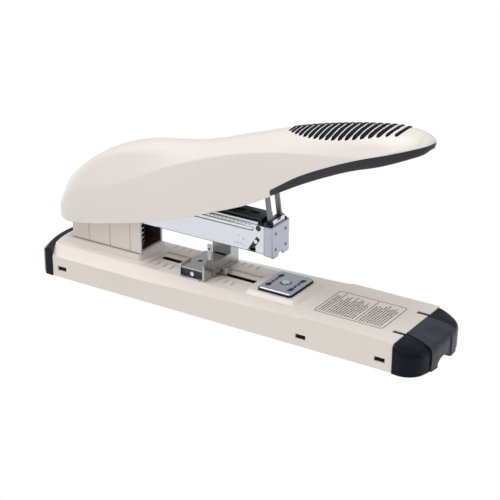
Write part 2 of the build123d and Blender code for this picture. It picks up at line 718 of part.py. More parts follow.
PUSHER_SPRING_X = (CORE_REAR + 1.6, PUSHER_X[0] + 0.6)
pusher_spring_length = PUSHER_SPRING_X[1] - PUSHER_SPRING_X[0]
pusher_coil = coil((PUSHER_SPRING_X[0], 0, ROD_Z), (1, 0, 0), 2.5, 0.7, pusher_spring_length, 20)
with BuildPart() as pusher_spring:
    add(pusher_coil)
write_part(pusher_spring, "pusher_spring")

# ---- springs that lift the head and the handle ----
lift_coil = coil((-84, 0, PEDESTAL_TOP + SHEET + 1.6), (0, 0, 1), 5.0, 1.5, 16.6, 5)
with BuildPart() as head_lift_spring:
    add(lift_coil)
write_part(head_lift_spring, "head_lift_spring")

return_coil = coil((-62, 0, HEAD_TOP + 4.4), (0, 0, 1), 4.4, 1.3, 9.6, 4)
with BuildPart() as handle_return_spring:
    add(return_coil)
write_part(handle_return_spring, "handle_return_spring")

# ---- driver: blade, carrier and pin ----
BLADE_X = (24.75, 25.4)
BLADE_BOTTOM = 62.2
CARRIER_HALF = LINK_INNER - 0.1
foot_pin_hole = rod_y(LINK_FOOT[0], LINK_FOOT[1], LINK_PIN_R + PIN_FIT, -20, 20)
foot_eye_hole = rod_y(LINK_FOOT[0], LINK_FOOT[1], LINK_PIN_R + OPEN_FIT, -20, 20)
top_pin_hole = rod_y(LINK_TOP[0], LINK_TOP[1], LEVER_PIN_R + PIN_FIT, -20, 20)
blade = box(BLADE_X, (-6.4, 6.4), (BLADE_BOTTOM, 66.4))
carrier = box((LINK_FOOT[0] - 1.5, BLADE_X[0]), (-CARRIER_HALF, CARRIER_HALF), (BLADE_BOTTOM, 66.0))

with BuildPart() as driver_blade:
    add(blade)
    with BuildSketch(Plane.XY.offset(67)):
        with Locations((BLADE_X[0] + 0.6, 0)):
            Rectangle(3, 4)
    extrude(amount=-2, mode=Mode.SUBTRACT)
write_part(driver_blade, "driver_blade")

with BuildPart() as driver_carrier:
    add(carrier)
    add(foot_pin_hole, mode=Mode.SUBTRACT)
write_part(driver_carrier, "driver_carrier")

driver_pin_reach = LINK_INNER + LINK_THICK + 0.1
driver_pin_shank = rod_y(LINK_FOOT[0], LINK_FOOT[1], LINK_PIN_R, -driver_pin_reach, driver_pin_reach)

with BuildPart() as driver_pin:
    add(driver_pin_shank)
    for side in (-1, 1):
        with BuildSketch(Plane.XZ.offset(side * driver_pin_reach)):
            with Locations(LINK_FOOT):
                Circle(LINK_PIN_R + 0.8)
        extrude(amount=side * 0.6)
write_part(driver_pin, "driver_pin")


def link(side):
    """A flat link with an eye for the lever pin and an eye for the driver pin."""
    with BuildPart() as plate:
        with BuildSketch(Plane.XZ.offset(side * LINK_INNER)):
            with BuildLine():
                spine = Line(LINK_TOP, LINK_FOOT)
            trace(spine, line_width=LINK_WIDTH)
            with Locations(LINK_FOOT):
                Circle(LINK_EYE_R)
            with Locations(LINK_TOP):
                Circle(3.2)
        extrude(amount=side * LINK_THICK)
        add(foot_eye_hole, mode=Mode.SUBTRACT)
        add(top_pin_hole, mode=Mode.SUBTRACT)
    return plate


write_part(link(1), "link_near")
write_part(link(-1), "link_far")

# ---- handle lever: pressed steel, cheeks outside the pillar and a tongue in the grip ----
LEVER_OUTER = LEVER_INNER + LEVER_SHEET
LEVER_OUTLINE = (
    (-112, 51),
    (-92, 49),
    (-36, 64.5),
    (8, 82),
    (24, 88),
    (24, 98.5),
    (-98, 70.2),
    (-112, 69),
)
WEB = ((-98, 70), (30, 99.5))
TONGUE_END = (96, 128)
BOSSES = ((50, 128.6), (88, 136.0))     # x of each screw boss, height of its crown
BOSS_R = 4.0

EYE_OUTLINE = ((-121, 53), (-112, 51), (-108, 60), (-112, 69), (-121, 67))
lever_cheeks = mirrored_walls(LEVER_OUTLINE, LEVER_INNER, LEVER_OUTER)
lever_eyes = mirrored_walls(EYE_OUTLINE, LEVER_INNER, LEVER_OUTER)


def sloping_plate(first, second, half, thick):
    with BuildPart() as plate:
        with BuildSketch(Plane.XZ.offset(-half)):
            with BuildLine():
                Polyline(
                    first,
                    second,
                    (second[0], second[1] + thick),
                    (first[0], first[1] + thick),
                    close=True,
                )
            make_face()
        extrude(amount=2 * half)
    return plate.part


def tongue_height(x):
    return WEB[1][1] + (x - WEB[1][0]) * (TONGUE_END[1] - WEB[1][1]) / (TONGUE_END[0] - WEB[1][0])


lever_web = sloping_plate(WEB[0], WEB[1], LEVER_OUTER, LEVER_SHEET)
lever_tongue = sloping_plate(WEB[1], TONGUE_END, 9, LEVER_SHEET)

with BuildPart() as handle_lever:
    add(lever_cheeks)
    add(lever_eyes)
    add(lever_web)
    add(lever_tongue)
    add(pivot_hole, mode=Mode.SUBTRACT)
    add(top_pin_hole, mode=Mode.SUBTRACT)
    with BuildSketch(Plane.XY.offset(90)):
        with Locations(*[(x, 0) for x, crown in BOSSES]):
            Circle(SCREW_HOLE_R + 0.2)
    extrude(amount=50, mode=Mode.SUBTRACT)
write_part(handle_lever, "handle_lever")

lever_pin_reach = LEVER_OUTER + 0.1
lever_pin_shank = rod_y(LINK_TOP[0], LINK_TOP[1], LEVER_PIN_R, -lever_pin_reach, lever_pin_reach)

with BuildPart() as lever_pin:
    add(lever_pin_shank)
    for side in (-1, 1):
        with BuildSketch(Plane.XZ.offset(side * lever_pin_reach)):
            with Locations(LINK_TOP):
                Circle(3)
        extrude(amount=side * 0.9)
write_part(lever_pin, "lever_pin")

with BuildPart() as link_spacers:
    for side in (-1, 1):
        with BuildSketch(Plane.XZ.offset(side * (LINK_INNER + LINK_THICK + 0.1))):
            with Locations(LINK_TOP):
                Circle(3)
                Circle(LEVER_PIN_R + PIN_FIT, mode=Mode.SUBTRACT)
        extrude(amount=side * (LEVER_INNER - LINK_INNER - LINK_THICK - 0.2))
write_part(link_spacers, "link_spacers")

# ---- handle cover, underside trim and grip ribs ----
NOSE = (126.4, 133.4)
REAR = (-141.5, 44.0)
REAR_FOOT = (-141.0, 37.2)
TOP_LINE = (
    REAR,
    (-137.5, 56),
    (-130, 66),
    (-118, 76.4),
    (-101, 87.4),
    (-83, 95),
    (-65, 100),
    (-28, 106.2),
    (6, 117),
    (40, 127.6),
    (72, 135),
    (98, 138.6),
    (112, 139),
    (120.8, 137.4),
    NOSE,
)
LOWER_LINE = (
    NOSE,
    (124.2, 129.4),
    (117, 125.4),
    (100.5, 118.8),
    (80.3, 111.8),
    (54, 99.8),
    (29.6, 86.6),
    (-36.3, 58),
    (-92.7, 42.1),
    (-121, 36.6),
    REAR_FOOT,
)
SEAM_LINE = (
    (29.6, 90.6),
    (48.6, 103),
    (69.7, 113.5),
    (90.3, 121.8),
    (110.3, 128.2),
    (120, 131.2),
    (132, 134.3),
)
NOSE_SHARE = 1.5            # the blunt nose moves in by this much of an inset
TRIM_REAR = 29.6
# x, lower crease z, upper crease z, crown z, lower half-width, upper half-width
SECTIONS = (
    (-150, 40, 46, 50, 17.5, 12),
    (-135, 55, 62.5, 68, 17.5, 12),
    (-115, 66.5, 78.5, 83, 17.5, 11.8),
    (-90, 70, 89.3, 93, 17.5, 11.5),
    (-60, 84, 95.8, 100, 17.5, 11.5),
    (-20, 101, 104.6, 108.5, 17.6, 11.6),
    (20, 111.5, 117.4, 122, 18.2, 12.5),
    (60, 118.5, 127, 133, 19, 13.5),
    (95, 123.5, 132.4, 138.8, 19, 13.5),
    (118, 127.5, 134.6, 139.4, 19, 13),
    (134, 129.5, 133.4, 138, 19, 12),
)


def moved_in(points, inset):
    """The points of an outline moved inwards, square to it; the two end points move along X."""

    def moved_end(point):
        shift = -NOSE_SHARE * inset if point == NOSE else inset
        return (point[0] + shift, point[1])

    inner = [moved_end(points[0])]
    for before, point, after in zip(points, points[1:], points[2:]):
        run = after[0] - before[0]
        rise = after[1] - before[1]
        length = math.hypot(run, rise)
        inner.append((point[0] + inset * rise / length, point[1] - inset * run / length))
    inner.append(moved_end(points[-1]))
    return inner


def handle_outline(inset):
    """Side view of the handle as a solid slab, moved inwards by the inset."""
    with BuildPart() as slab:
        with BuildSketch(Plane.XZ.offset(-30)):
            with BuildLine():
                top = Spline(*moved_in(TOP_LINE, inset))
                lower = Spline(*moved_in(LOWER_LINE, inset))
                Line(lower @ 1, top @ 0)
            make_face()
        extrude(amount=60)
    return slab.part


def handle_sections(inset):
    """Loft of the handle's cross-sections, with its two soft creases on each side."""
    with BuildPart() as body:
        for x, low, high, crown, wide, narrow in SECTIONS:
            w = wide - inset
            n = narrow - 0.6 * inset
            lower = low - 0.4 * inset
            upper = high - inset
            flat = crown - inset - 0.6
            with BuildSketch(Plane.YZ.offset(x)):
                with BuildLine():
                    Polyline(
                        (-w, 0),
                        (w, 0),
                        (w, lower),
                        (n, upper),
                        (0.5 * n, flat),
                        (-0.5 * n, flat),
                        (-n, upper),
                        (-w, lower),
                        close=True,
                    )
                make_face()
        loft()
    return body.part


def handle_plan(inset):
    """Plan view of the handle as a tall slab: a half-round rear and a rounded nose."""
    half = COVER_HALF - inset
    rear = REAR[0] + inset
    nose = NOSE[0] - inset
    arc_end = rear + half - 2
    grip = 10.0                 # start of the slightly wider grip
    bulge = half + 1.2
    shoulder = half - 1.4
    with BuildPart() as slab:
        with BuildSketch(Plane.XY):
            with BuildLine():
                ThreePointArc((arc_end, half), (rear, 0), (arc_end, -half))
                Line((arc_end, -half), (grip, -half))
                Spline((grip, -half), (75, -bulge), (108, -shoulder), (nose, 0), tangents=((1, 0), (0, 1)))
                Spline((nose, 0), (108, shoulder), (75, bulge), (grip, half), tangents=((0, 1), (-1, 0)))
                Line((grip, half), (arc_end, half))
            make_face()
        extrude(amount=160)
    return slab.part


def below_seam():
    """The space under the seam between the cover and the trim."""
    with BuildPart() as space:
        with BuildSketch(Plane.XZ.offset(-30)):
            with BuildLine():
                Spline(*SEAM_LINE)
                Polyline(SEAM_LINE[-1], (140, SEAM_LINE[-1][1]), (140, 60), (TRIM_REAR, 60), SEAM_LINE[0])
            make_face()
        extrude(amount=60)
    return space.part


handle_solid = handle_outline(0) & handle_sections(0) & handle_plan(0)
handle_hollow = handle_outline(COVER_WALL) & handle_sections(COVER_WALL) & handle_plan(COVER_WALL)
OPENING_DROP = 4.5
open_side = box((-160, TRIM_REAR - COVER_WALL), (-40, 40), (0, 160))
opening = (Pos(0, 0, -OPENING_DROP) * handle_hollow) & open_side
under_seam = below_seam()

with BuildPart() as handle_cover:
    add(handle_solid)
    add(handle_hollow, mode=Mode.SUBTRACT)
    add(opening, mode=Mode.SUBTRACT)
    add(under_seam, mode=Mode.SUBTRACT)
    # bosses on the tongue of the lever, tapped for the cover's screws
    for x, crown in BOSSES:
        foot = tongue_height(x + BOSS_R) + LEVER_SHEET + 0.3
        with BuildSketch(Plane.XY.offset(foot)):
            with Locations((x, 0)):
                Circle(BOSS_R)
                Circle(SCREW_HOLE_R, mode=Mode.SUBTRACT)
        extrude(amount=crown - foot)
write_part(handle_cover, "handle_cover")

with BuildPart() as handle_trim:
    add(handle_solid)
    add(handle_hollow, mode=Mode.SUBTRACT)
    add(under_seam, mode=Mode.INTERSECT)
write_part(handle_trim, "handle_trim")

with BuildPart() as cover_screws:
    for x, crown in BOSSES:
        head_foot = tongue_height(x - SCREW_HEAD_R) - 2.4
        with BuildSketch(Plane.XY.offset(head_foot)):
            with Locations((x, 0)):
                Circle(SCREW_HEAD_R)
        extrude(amount=2.0)
        with BuildSketch(Plane.XY.offset(head_foot + 1)):
            with Locations((x, 0)):
                Circle(SCREW_R)
        extrude(amount=11)
write_part(cover_screws, "cover_screws")

RIB_COUNT = 18
RIB_FIRST = 36.0
RIB_PITCH = 4.3
RIB_WIDTH = 2.5
RIB_RISE = 0.8
RIB_RADIUS = 22.0
LENS_MIDDLE = 78.0
LENS_HALF_LENGTH = 46.0
LENS_HALF_WIDTH = 13.2

with BuildPart() as rib_bands:
    with BuildSketch(Plane.XY.offset(100)):
        for number in range(RIB_COUNT):
            x = RIB_FIRST + number * RIB_PITCH
            reach = LENS_HALF_WIDTH * math.sqrt(1 - ((x - LENS_MIDDLE) / LENS_HALF_LENGTH) ** 2)
            sweep_angle = math.degrees(math.asin(reach / RIB_RADIUS))
            with BuildLine():
                rib_line = CenterArc((x - RIB_RADIUS, 0), RIB_RADIUS, -sweep_angle, 2 * sweep_angle)
            trace(rib_line, line_width=RIB_WIDTH)
    extrude(amount=60)

raised_solid = Pos(0, 0, RIB_RISE) * handle_solid
with BuildPart() as grip_ribs:
    add(raised_solid)
    add(rib_bands.part, mode=Mode.INTERSECT)
    add(handle_solid, mode=Mode.SUBTRACT)
write_part(grip_ribs, "grip_ribs")

# ---- paper guide: carriage, stop plate, clamp, screw and strip ----
CARRIAGE_X = (-36.0, GUIDE_X - 1.2)
CARRIAGE_TOP = 27.0
CARRIAGE_SHEET = 0.8
CARRIAGE_FAR = 9.0
EAR_INNER = 10.35
EAR_TOP = 42.4
STOP_SHEET = 1.2
CLAMP_SCREW_X = -13.6
CLAMP_SCREW_R = 1.05
CLAMP_HEAD_R = 1.7
CLAMP_Z = (16.2, 17.6)
STRIP_Z = (GUIDE_FLOOR + 1.05, GUIDE_FLOOR + 3)

carriage_length = CARRIAGE_X[1] - CARRIAGE_X[0]
carriage_height = CARRIAGE_TOP - GUIDE_FLOOR

with BuildPart() as guide_carriage:
    with BuildSketch(Plane.XZ.offset(-CARRIAGE_FAR)):
        with Locations(((CARRIAGE_X[0] + CARRIAGE_X[1]) / 2, (GUIDE_FLOOR + CARRIAGE_TOP) / 2)):
            Rectangle(carriage_length, carriage_height)
            Rectangle(
                carriage_length - 2 * CARRIAGE_SHEET,
                carriage_height - 2 * CARRIAGE_SHEET,
                mode=Mode.SUBTRACT,
            )
    extrude(amount=CARRIAGE_FAR + GUIDE_HALF - 0.4)
    with BuildSketch(Plane.XY.offset(CARRIAGE_TOP + 1)):
        with Locations((-29, -6)):
            Circle(1.5)
    extrude(amount=-3, mode=Mode.SUBTRACT)
write_part(guide_carriage, "guide_carriage")

# folded ears beside the head, and a foot that takes the clamp screw
near_ear = box((-19.8, GUIDE_X), (-EAR_INNER - STOP_SHEET, -EAR_INNER), (CARRIAGE_TOP + 0.1, EAR_TOP))
far_ear = box((-31, GUIDE_X), (EAR_INNER, EAR_INNER + STOP_SHEET), (GUIDE_FLOOR, EAR_TOP))
stop_foot = box((GUIDE_X - 0.1, -11.5), (-3.2, 3.2), (GUIDE_FLOOR, GUIDE_FLOOR + 1))

with BuildPart() as guide_stop_plate:
    with BuildSketch(Plane.YZ.offset(GUIDE_X - STOP_SHEET)):
        with BuildLine():
            Polyline(
                (-GUIDE_HALF, GUIDE_FLOOR),
                (GUIDE_HALF, GUIDE_FLOOR),
                (GUIDE_HALF, 30),
                (EAR_INNER + STOP_SHEET, 33.5),
                (EAR_INNER + STOP_SHEET, EAR_TOP),
                (EAR_INNER, EAR_TOP),
                (EAR_INNER, 29),
                (-EAR_INNER, 29),
                (-EAR_INNER, EAR_TOP),
                (-EAR_INNER - STOP_SHEET, EAR_TOP),
                (-EAR_INNER - STOP_SHEET, 33.5),
                (-GUIDE_HALF, 31),
                close=True,
            )
        make_face()
    extrude(amount=STOP_SHEET)
    add(near_ear)
    add(far_ear)
    add(stop_foot)
    with Locations((CLAMP_SCREW_X, 0, GUIDE_FLOOR + 1)):
        Hole(CLAMP_SCREW_R + PIN_FIT, depth=3)
write_part(guide_stop_plate, "guide_stop_plate")

strip = box((GUIDE_X, GUIDE_X + 1.0), (-EAR_INNER, 12), STRIP_Z)
with BuildPart() as guide_strip:
    add(strip)
write_part(guide_strip, "guide_strip")

with BuildPart() as guide_screw:
    with BuildSketch(Plane.XY.offset(CLAMP_Z[0] - 1.2)):
        with Locations((CLAMP_SCREW_X, 0)):
            Circle(CLAMP_SCREW_R)
    extrude(amount=GUIDE_FLOOR + 2.4 - CLAMP_Z[0])
    with BuildSketch(Plane.XY.offset(GUIDE_FLOOR + 1.05)):
        with Locations((CLAMP_SCREW_X, 0)):
            Circle(CLAMP_HEAD_R)
    extrude(amount=1.8)
    with BuildSketch(Plane.XY.offset(GUIDE_FLOOR + 2.85)):
        with Locations((CLAMP_SCREW_X, 0)):
            Rectangle(2 * CLAMP_HEAD_R + 0.4, 0.6)
    extrude(amount=-0.6, mode=Mode.SUBTRACT)
write_part(guide_screw, "guide_screw")

clamp_bar = box((-34, -9), (-7, 7), CLAMP_Z)
with BuildPart() as guide_clamp:
    add(clamp_bar)
    with Locations((CLAMP_SCREW_X, 0, CLAMP_Z[1])):
        Hole(CLAMP_SCREW_R + PIN_FIT, depth=3)
write_part(guide_clamp, "guide_clamp")
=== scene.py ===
import bpy
import bmesh
import json
import math
import random
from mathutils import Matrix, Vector


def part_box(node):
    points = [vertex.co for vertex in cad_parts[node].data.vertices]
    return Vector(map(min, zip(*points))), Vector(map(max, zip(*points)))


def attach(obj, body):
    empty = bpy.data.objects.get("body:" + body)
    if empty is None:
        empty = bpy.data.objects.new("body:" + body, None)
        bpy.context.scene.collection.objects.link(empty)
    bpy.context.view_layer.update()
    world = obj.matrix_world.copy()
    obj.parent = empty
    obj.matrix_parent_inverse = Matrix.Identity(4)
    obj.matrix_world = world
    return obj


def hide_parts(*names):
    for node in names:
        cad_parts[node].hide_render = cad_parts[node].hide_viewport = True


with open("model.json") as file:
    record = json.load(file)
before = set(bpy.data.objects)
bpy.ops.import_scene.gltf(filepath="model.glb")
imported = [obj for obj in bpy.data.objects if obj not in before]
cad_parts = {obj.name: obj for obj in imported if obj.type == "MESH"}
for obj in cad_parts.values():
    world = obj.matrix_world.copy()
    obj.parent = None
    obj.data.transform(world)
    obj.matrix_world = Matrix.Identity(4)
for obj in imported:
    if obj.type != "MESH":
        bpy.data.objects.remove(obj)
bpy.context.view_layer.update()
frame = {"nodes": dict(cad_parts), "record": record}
MM = 0.001                          # shapes are in millimetres and lights in metres

# ---- camera: viewing angle, target, distance and lens ----
AZIMUTH = math.radians(33.0)
ELEVATION = math.radians(23.4)
TARGET = Vector((4.3, 0.0, 40.1)) * MM
DISTANCE = 0.955
LENS = 110.9
SENSOR = 36.0


def make_camera():
    back = Vector((
        math.sin(AZIMUTH) * math.cos(ELEVATION),
        -math.cos(AZIMUTH) * math.cos(ELEVATION),
        math.sin(ELEVATION),
    ))
    data = bpy.data.cameras.new("camera")
    data.lens = LENS
    data.sensor_width = SENSOR
    camera = bpy.data.objects.new("camera", data)
    camera.location = TARGET + back * DISTANCE
    camera.rotation_mode = "QUATERNION"
    camera.rotation_quaternion = (-back).to_track_quat("-Z", "Y")
    bpy.context.scene.collection.objects.link(camera)
    bpy.context.scene.camera = camera


# ---- materials ----
EDGE_SAMPLES = 4                    # rays that the soft edges take


class Nodes:
    """A small wrapper that adds nodes to one material and links them."""

    def __init__(self, name):
        self.material = bpy.data.materials.new(name)
        self.material.use_nodes = True
        self.tree = self.material.node_tree
        self.shader = self.tree.nodes["Principled BSDF"]

    def add(self, kind):
        return self.tree.nodes.new(kind)

    def link(self, source, target):
        self.tree.links.new(source, target)

    def value(self, socket, value):
        self.shader.inputs[socket].default_value = value

    def position(self):
        return self.add("ShaderNodeTexCoord").outputs["Object"]

    def noise(self, scale, detail, roughness=0.5, stretch=None):
        node = self.add("ShaderNodeTexNoise")
        node.inputs["Scale"].default_value = scale
        node.inputs["Detail"].default_value = detail
        node.inputs["Roughness"].default_value = roughness
        where = self.position()
        if stretch:
            mapping = self.add("ShaderNodeMapping")
            mapping.inputs["Scale"].default_value = stretch
            self.link(where, mapping.inputs["Vector"])
            where = mapping.outputs["Vector"]
        self.link(where, node.inputs["Vector"])
        return node.outputs["Fac"]

    def cells(self, scale):
        node = self.add("ShaderNodeTexVoronoi")
        node.inputs["Scale"].default_value = scale
        self.link(self.position(), node.inputs["Vector"])
        return node.outputs["Distance"]

    def blend(self, factor, low, high):
        """Colour that runs between two (place, colour) stops of the factor."""
        node = self.add("ShaderNodeValToRGB")
        for element, (place, colour) in zip(node.color_ramp.elements, (low, high)):
            element.position = place
            element.color = (*colour, 1.0)
        self.link(factor, node.inputs["Fac"])
        return node.outputs["Color"]

    def remap(self, factor, low, high):
        node = self.add("ShaderNodeMapRange")
        node.inputs["To Min"].default_value = low
        node.inputs["To Max"].default_value = high
        self.link(factor, node.inputs["Value"])
        return node.outputs["Result"]

    def bump(self, height, strength, depth, soft_edge):
        """Relief of some depth on a normal that runs softly over sharp edges, both in millimetres."""
        edge = self.add("ShaderNodeBevel")
        edge.samples = EDGE_SAMPLES
        edge.inputs["Radius"].default_value = soft_edge * MM
        node = self.add("ShaderNodeBump")
        node.inputs["Strength"].default_value = strength
        node.inputs["Distance"].default_value = depth * MM
        self.link(height, node.inputs["Height"])
        self.link(edge.outputs["Normal"], node.inputs["Normal"])
        return node.outputs["Normal"]

    def finish(self, colour, roughness, normal):
        self.link(colour, self.shader.inputs["Base Color"])
        self.link(roughness, self.shader.inputs["Roughness"])
        self.link(normal, self.shader.inputs["Normal"])
        return self.material


def mixed(colour, other, amount):
    return tuple(a + (b - a) * amount for a, b in zip(colour, other))


def paint(name, colour, shade, roughness=0.34, grain=2600.0, coat=0.25, soft_edge=0.4):
    """Powder-coated steel or moulded plastic: fine orange peel and slow changes of tone."""
    n = Nodes(name)
    tone = n.noise(scale=9.0, detail=3.0)
    peel = n.noise(scale=grain, detail=2.0)
    slow = n.noise(scale=60.0, detail=3.0)
    n.value("Coat Weight", coat)
    n.value("Coat Roughness", 0.18)
    return n.finish(
        n.blend(tone, low=(0.35, mixed(colour, shade, 0.35)), high=(0.65, colour)),
        n.remap(slow, roughness - 0.04, roughness + 0.05),
        n.bump(peel, strength=0.25, depth=0.02, soft_edge=soft_edge),
    )


def metal(name, colour, shade, roughness=0.3, brush=(1.0, 40.0, 40.0), soft_edge=0.2):
    """Plated or brushed steel: streaks along one direction and faint blotches."""
    n = Nodes(name)
    streaks = n.noise(scale=220.0, detail=6.0, roughness=0.6, stretch=brush)
    blotches = n.noise(scale=45.0, detail=5.0, roughness=0.6)
    n.value("Metallic", 1.0)
    return n.finish(
        n.blend(streaks, low=(0.3, mixed(colour, shade, 0.5)), high=(0.7, colour)),
        n.remap(blotches, roughness - 0.08, roughness + 0.08),
        n.bump(streaks, strength=0.12, depth=0.02, soft_edge=soft_edge),
    )


def dark_plastic(name, colour, roughness, grain=1500.0, gloss=0.3, soft_edge=0.4):
    """Moulded dark plastic with a fine leathery grain."""
    n = Nodes(name)
    slow = n.noise(scale=35.0, detail=4.0)
    n.value("Specular IOR Level", gloss)
    return n.finish(
        n.blend(slow, low=(0.3, mixed(colour, (0.0, 0.0, 0.0), 0.25)), high=(0.7, colour)),
        n.remap(slow, roughness - 0.05, roughness + 0.05),
        n.bump(n.cells(grain), strength=0.3, depth=0.03, soft_edge=soft_edge),
    )


def make_materials():
    """The materials by slot, and those that single pieces have instead."""
    return {
        "body_paint": paint("body_paint", (0.72, 0.662, 0.605), (0.66, 0.59, 0.525), soft_edge=0.8),
        "painted_steel": paint("cream_paint", (0.745, 0.69, 0.635), (0.68, 0.61, 0.54)),
        "cream_plastic": paint(
            "cream_plastic", (0.745, 0.70, 0.65), (0.69, 0.635, 0.58), roughness=0.4, grain=5200.0,
        ),
        "dark_plastic": dark_plastic(
            "charcoal_plastic", (0.002, 0.005, 0.010), 0.26, gloss=0.13, soft_edge=1.0,
        ),
        "band_plastic": dark_plastic("band_plastic", (0.030, 0.037, 0.048), 0.40, gloss=0.25),
        "trim_plastic": dark_plastic("trim_plastic", (0.035, 0.038, 0.045), 0.34, gloss=0.2),
        # dark brown paint used as painted shade inside the pillar
        "inner_shade": paint(
            "inner_shade", (0.022, 0.018, 0.014), (0.05, 0.042, 0.034), roughness=0.4, coat=0.1,
        ),
        "rubber": dark_plastic("rib_rubber", (0.003, 0.008, 0.015), 0.42, grain=900.0, gloss=0.08),
        "print": dark_plastic("panel_print", (0.02, 0.017, 0.016), 0.5, grain=3000.0),
        "plated_steel": metal("plated_steel", (0.76, 0.785, 0.83), (0.56, 0.60, 0.66)),
        # painted shade: a darker copy of the plated steel, with its own brushing, for the front plate whose
        # face looks away from the light
        "painted_shade_face_steel": metal(
            "painted_shade_face_steel", (0.50, 0.53, 0.59), (0.36, 0.39, 0.45), 0.36,
            brush=(40.0, 40.0, 1.0), soft_edge=1.3,
        ),
        "guide_steel": metal("guide_steel", (0.50, 0.50, 0.49), (0.26, 0.26, 0.26), 0.24),
        "anvil_steel": metal(
            "anvil_steel", (0.56, 0.59, 0.65), (0.24, 0.26, 0.31), 0.26, brush=(9.0, 9.0, 9.0),
        ),
        "link_steel": metal("link_steel", (0.24, 0.24, 0.25), (0.15, 0.15, 0.16), 0.4),
        "bright_steel": metal(
            "bright_steel", (0.8, 0.8, 0.82), (0.6, 0.6, 0.62), 0.2, brush=(8.0, 8.0, 8.0),
        ),
        "black_steel": paint(
            "black_steel", (0.006, 0.007, 0.009), (0.02, 0.02, 0.024), roughness=0.3, coat=0.08,
        ),
        "spring_steel": metal("spring_steel", (0.5, 0.5, 0.52), (0.3, 0.3, 0.32)),
    }


# CAD nodes whose look differs from the rest of their slot
SPECIAL = {
    "base_shell": "body_paint",
    # the front plate gets the darker copy of the plated steel as painted shade
    "head_front_plate": "painted_shade_face_steel",
    "front_plate_rivets": "black_steel",
    "guide_carriage": "guide_steel",
    "guide_stop_plate": "guide_steel",
    "guide_clamp": "guide_steel",
    "guide_strip": "guide_steel",
    "pusher_rod": "guide_steel",
    "staple_pusher": "guide_steel",
    "driver_pin": "link_steel",
    "driver_carrier": "link_steel",
}


def paint_nodes(materials):
    """Every CAD node gets the detailed material of its slot, or a special one."""
    for row in frame["record"]["subparts"]:
        mesh = frame["nodes"][row["node"]].data
        mesh.materials.clear()
        mesh.materials.append(materials[SPECIAL.get(row["node"], row["material_slot"])])


# ---- curves through a few points ----
def clamp(value, low, high):
    return min(max(value, low), high)


def smooth(points, x):
    """Height at x of a smooth curve through points with rising x."""
    if x <= points[0][0]:
        return points[0][1]
    if x >= points[-1][0]:
        return points[-1][1]
    last = len(points) - 1
    i = next(k for k in range(last) if x <= points[k + 1][0])

    def slope(k):
        low = points[max(k - 1, 0)]
        high = points[min(k + 1, last)]
        return (high[1] - low[1]) / (high[0] - low[0])

    (x0, z0), (x1, z1) = points[i], points[i + 1]
    span = x1 - x0
    t = (x - x0) / span
    h00 = (1 + 2 * t) * (1 - t) ** 2
    h10 = t * (1 - t) ** 2
    h01 = t * t * (3 - 2 * t)
    h11 = t * t * (t - 1)
    return h00 * z0 + h10 * span * slope(i) + h01 * z1 + h11 * span * slope(i + 1)


def curve_points(points, steps):
    """A Catmull-Rom curve through the points, with the given number of steps in each span."""
    out = []
    last = len(points) - 1
    for i in range(last):
        p0, p1, p2, p3 = (Vector(points[clamp(i + k, 0, last)]) for k in (-1, 0, 1, 2))
        for k in range(steps):
            t = k / steps
            out.append(
                0.5 * (2 * p1 + (p2 - p0) * t + (2 * p0 - 5 * p1 + 4 * p2 - p3) * t ** 2
                       + (3 * p1 - p0 - 3 * p2 + p3) * t ** 3)
            )
    out.append(Vector(points[-1]))
    return out


def rounded(corners, radii, steps):
    """An open outline whose inner corners are rounded, each with the same number of points."""
    out = [Vector(corners[0])]
    for before, corner, after, radius in zip(corners, corners[1:], corners[2:], radii):
        before, corner, after = Vector(before), Vector(corner), Vector(after)
        back = before - corner
        on = after - corner
        start = corner + back.normalized() * min(radius, 0.45 * back.length)
        end = corner + on.normalized() * min(radius, 0.45 * on.length)
        for k in range(steps + 1):
            t = k / steps
            out.append(start * (1 - t) ** 2 + corner * 2 * t * (1 - t) + end * t * t)
    out.append(Vector(corners[-1]))
    return out


def point_along(points, share):
    """The point at a share of a polyline's length."""
    lengths = [(b - a).length for a, b in zip(points, points[1:])]
    left = share * sum(lengths)
    for a, b, length in zip(points, points[1:], lengths):
        if left <= length and length > 0:
            return a.lerp(b, left / length)
        left -= length
    return points[-1].copy()


# ---- mesh helpers ----
MERGE = 0.02                        # points closer than this become one
SHORTEST = 0.01                     # edges shorter than this are dissolved
THINNEST = 0.03                     # share of a wall's thickness that is always left


def make_piece(name, vertices, faces, body, material, replaced=(), smooth_angle=40.0):
    """A visible piece on a body: merged points, outward normals, edges smooth below an angle."""
    mesh = bpy.data.meshes.new(name)
    mesh.from_pydata([tuple(v) for v in vertices], [], faces)
    mesh.validate()
    mesh.materials.append(material)
    piece = bpy.data.objects.new(name, mesh)
    bpy.context.scene.collection.objects.link(piece)
    work = bmesh.new()
    work.from_mesh(mesh)
    bmesh.ops.remove_doubles(work, verts=work.verts, dist=MERGE * MM)
    bmesh.ops.dissolve_degenerate(work, dist=SHORTEST * MM, edges=work.edges)
    bmesh.ops.recalc_face_normals(work, faces=work.faces)
    limit = math.radians(smooth_angle)
    for face in work.faces:
        face.smooth = True
    for edge in work.edges:
        edge.smooth = len(edge.link_faces) == 2 and edge.calc_face_angle(0.0) < limit
    work.to_mesh(mesh)
    work.free()
    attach(piece, body)
    if replaced:
        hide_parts(*replaced)
    return piece


def grid_faces(rows, columns):
    """Quads between neighbouring rows of points."""
    faces = []
    for r in range(rows - 1):
        for c in range(columns - 1):
            a = r * columns + c
            faces.append((a, a + 1, a + columns + 1, a + columns))
    return faces


def bar_faces(rows, columns):
    """Faces of a bar whose rows are closed loops, without the two end faces."""
    faces = grid_faces(rows, columns)
    for r in range(rows - 1):
        a = r * columns
        faces.append((a + columns - 1, a, a + columns, a + 2 * columns - 1))
    return faces


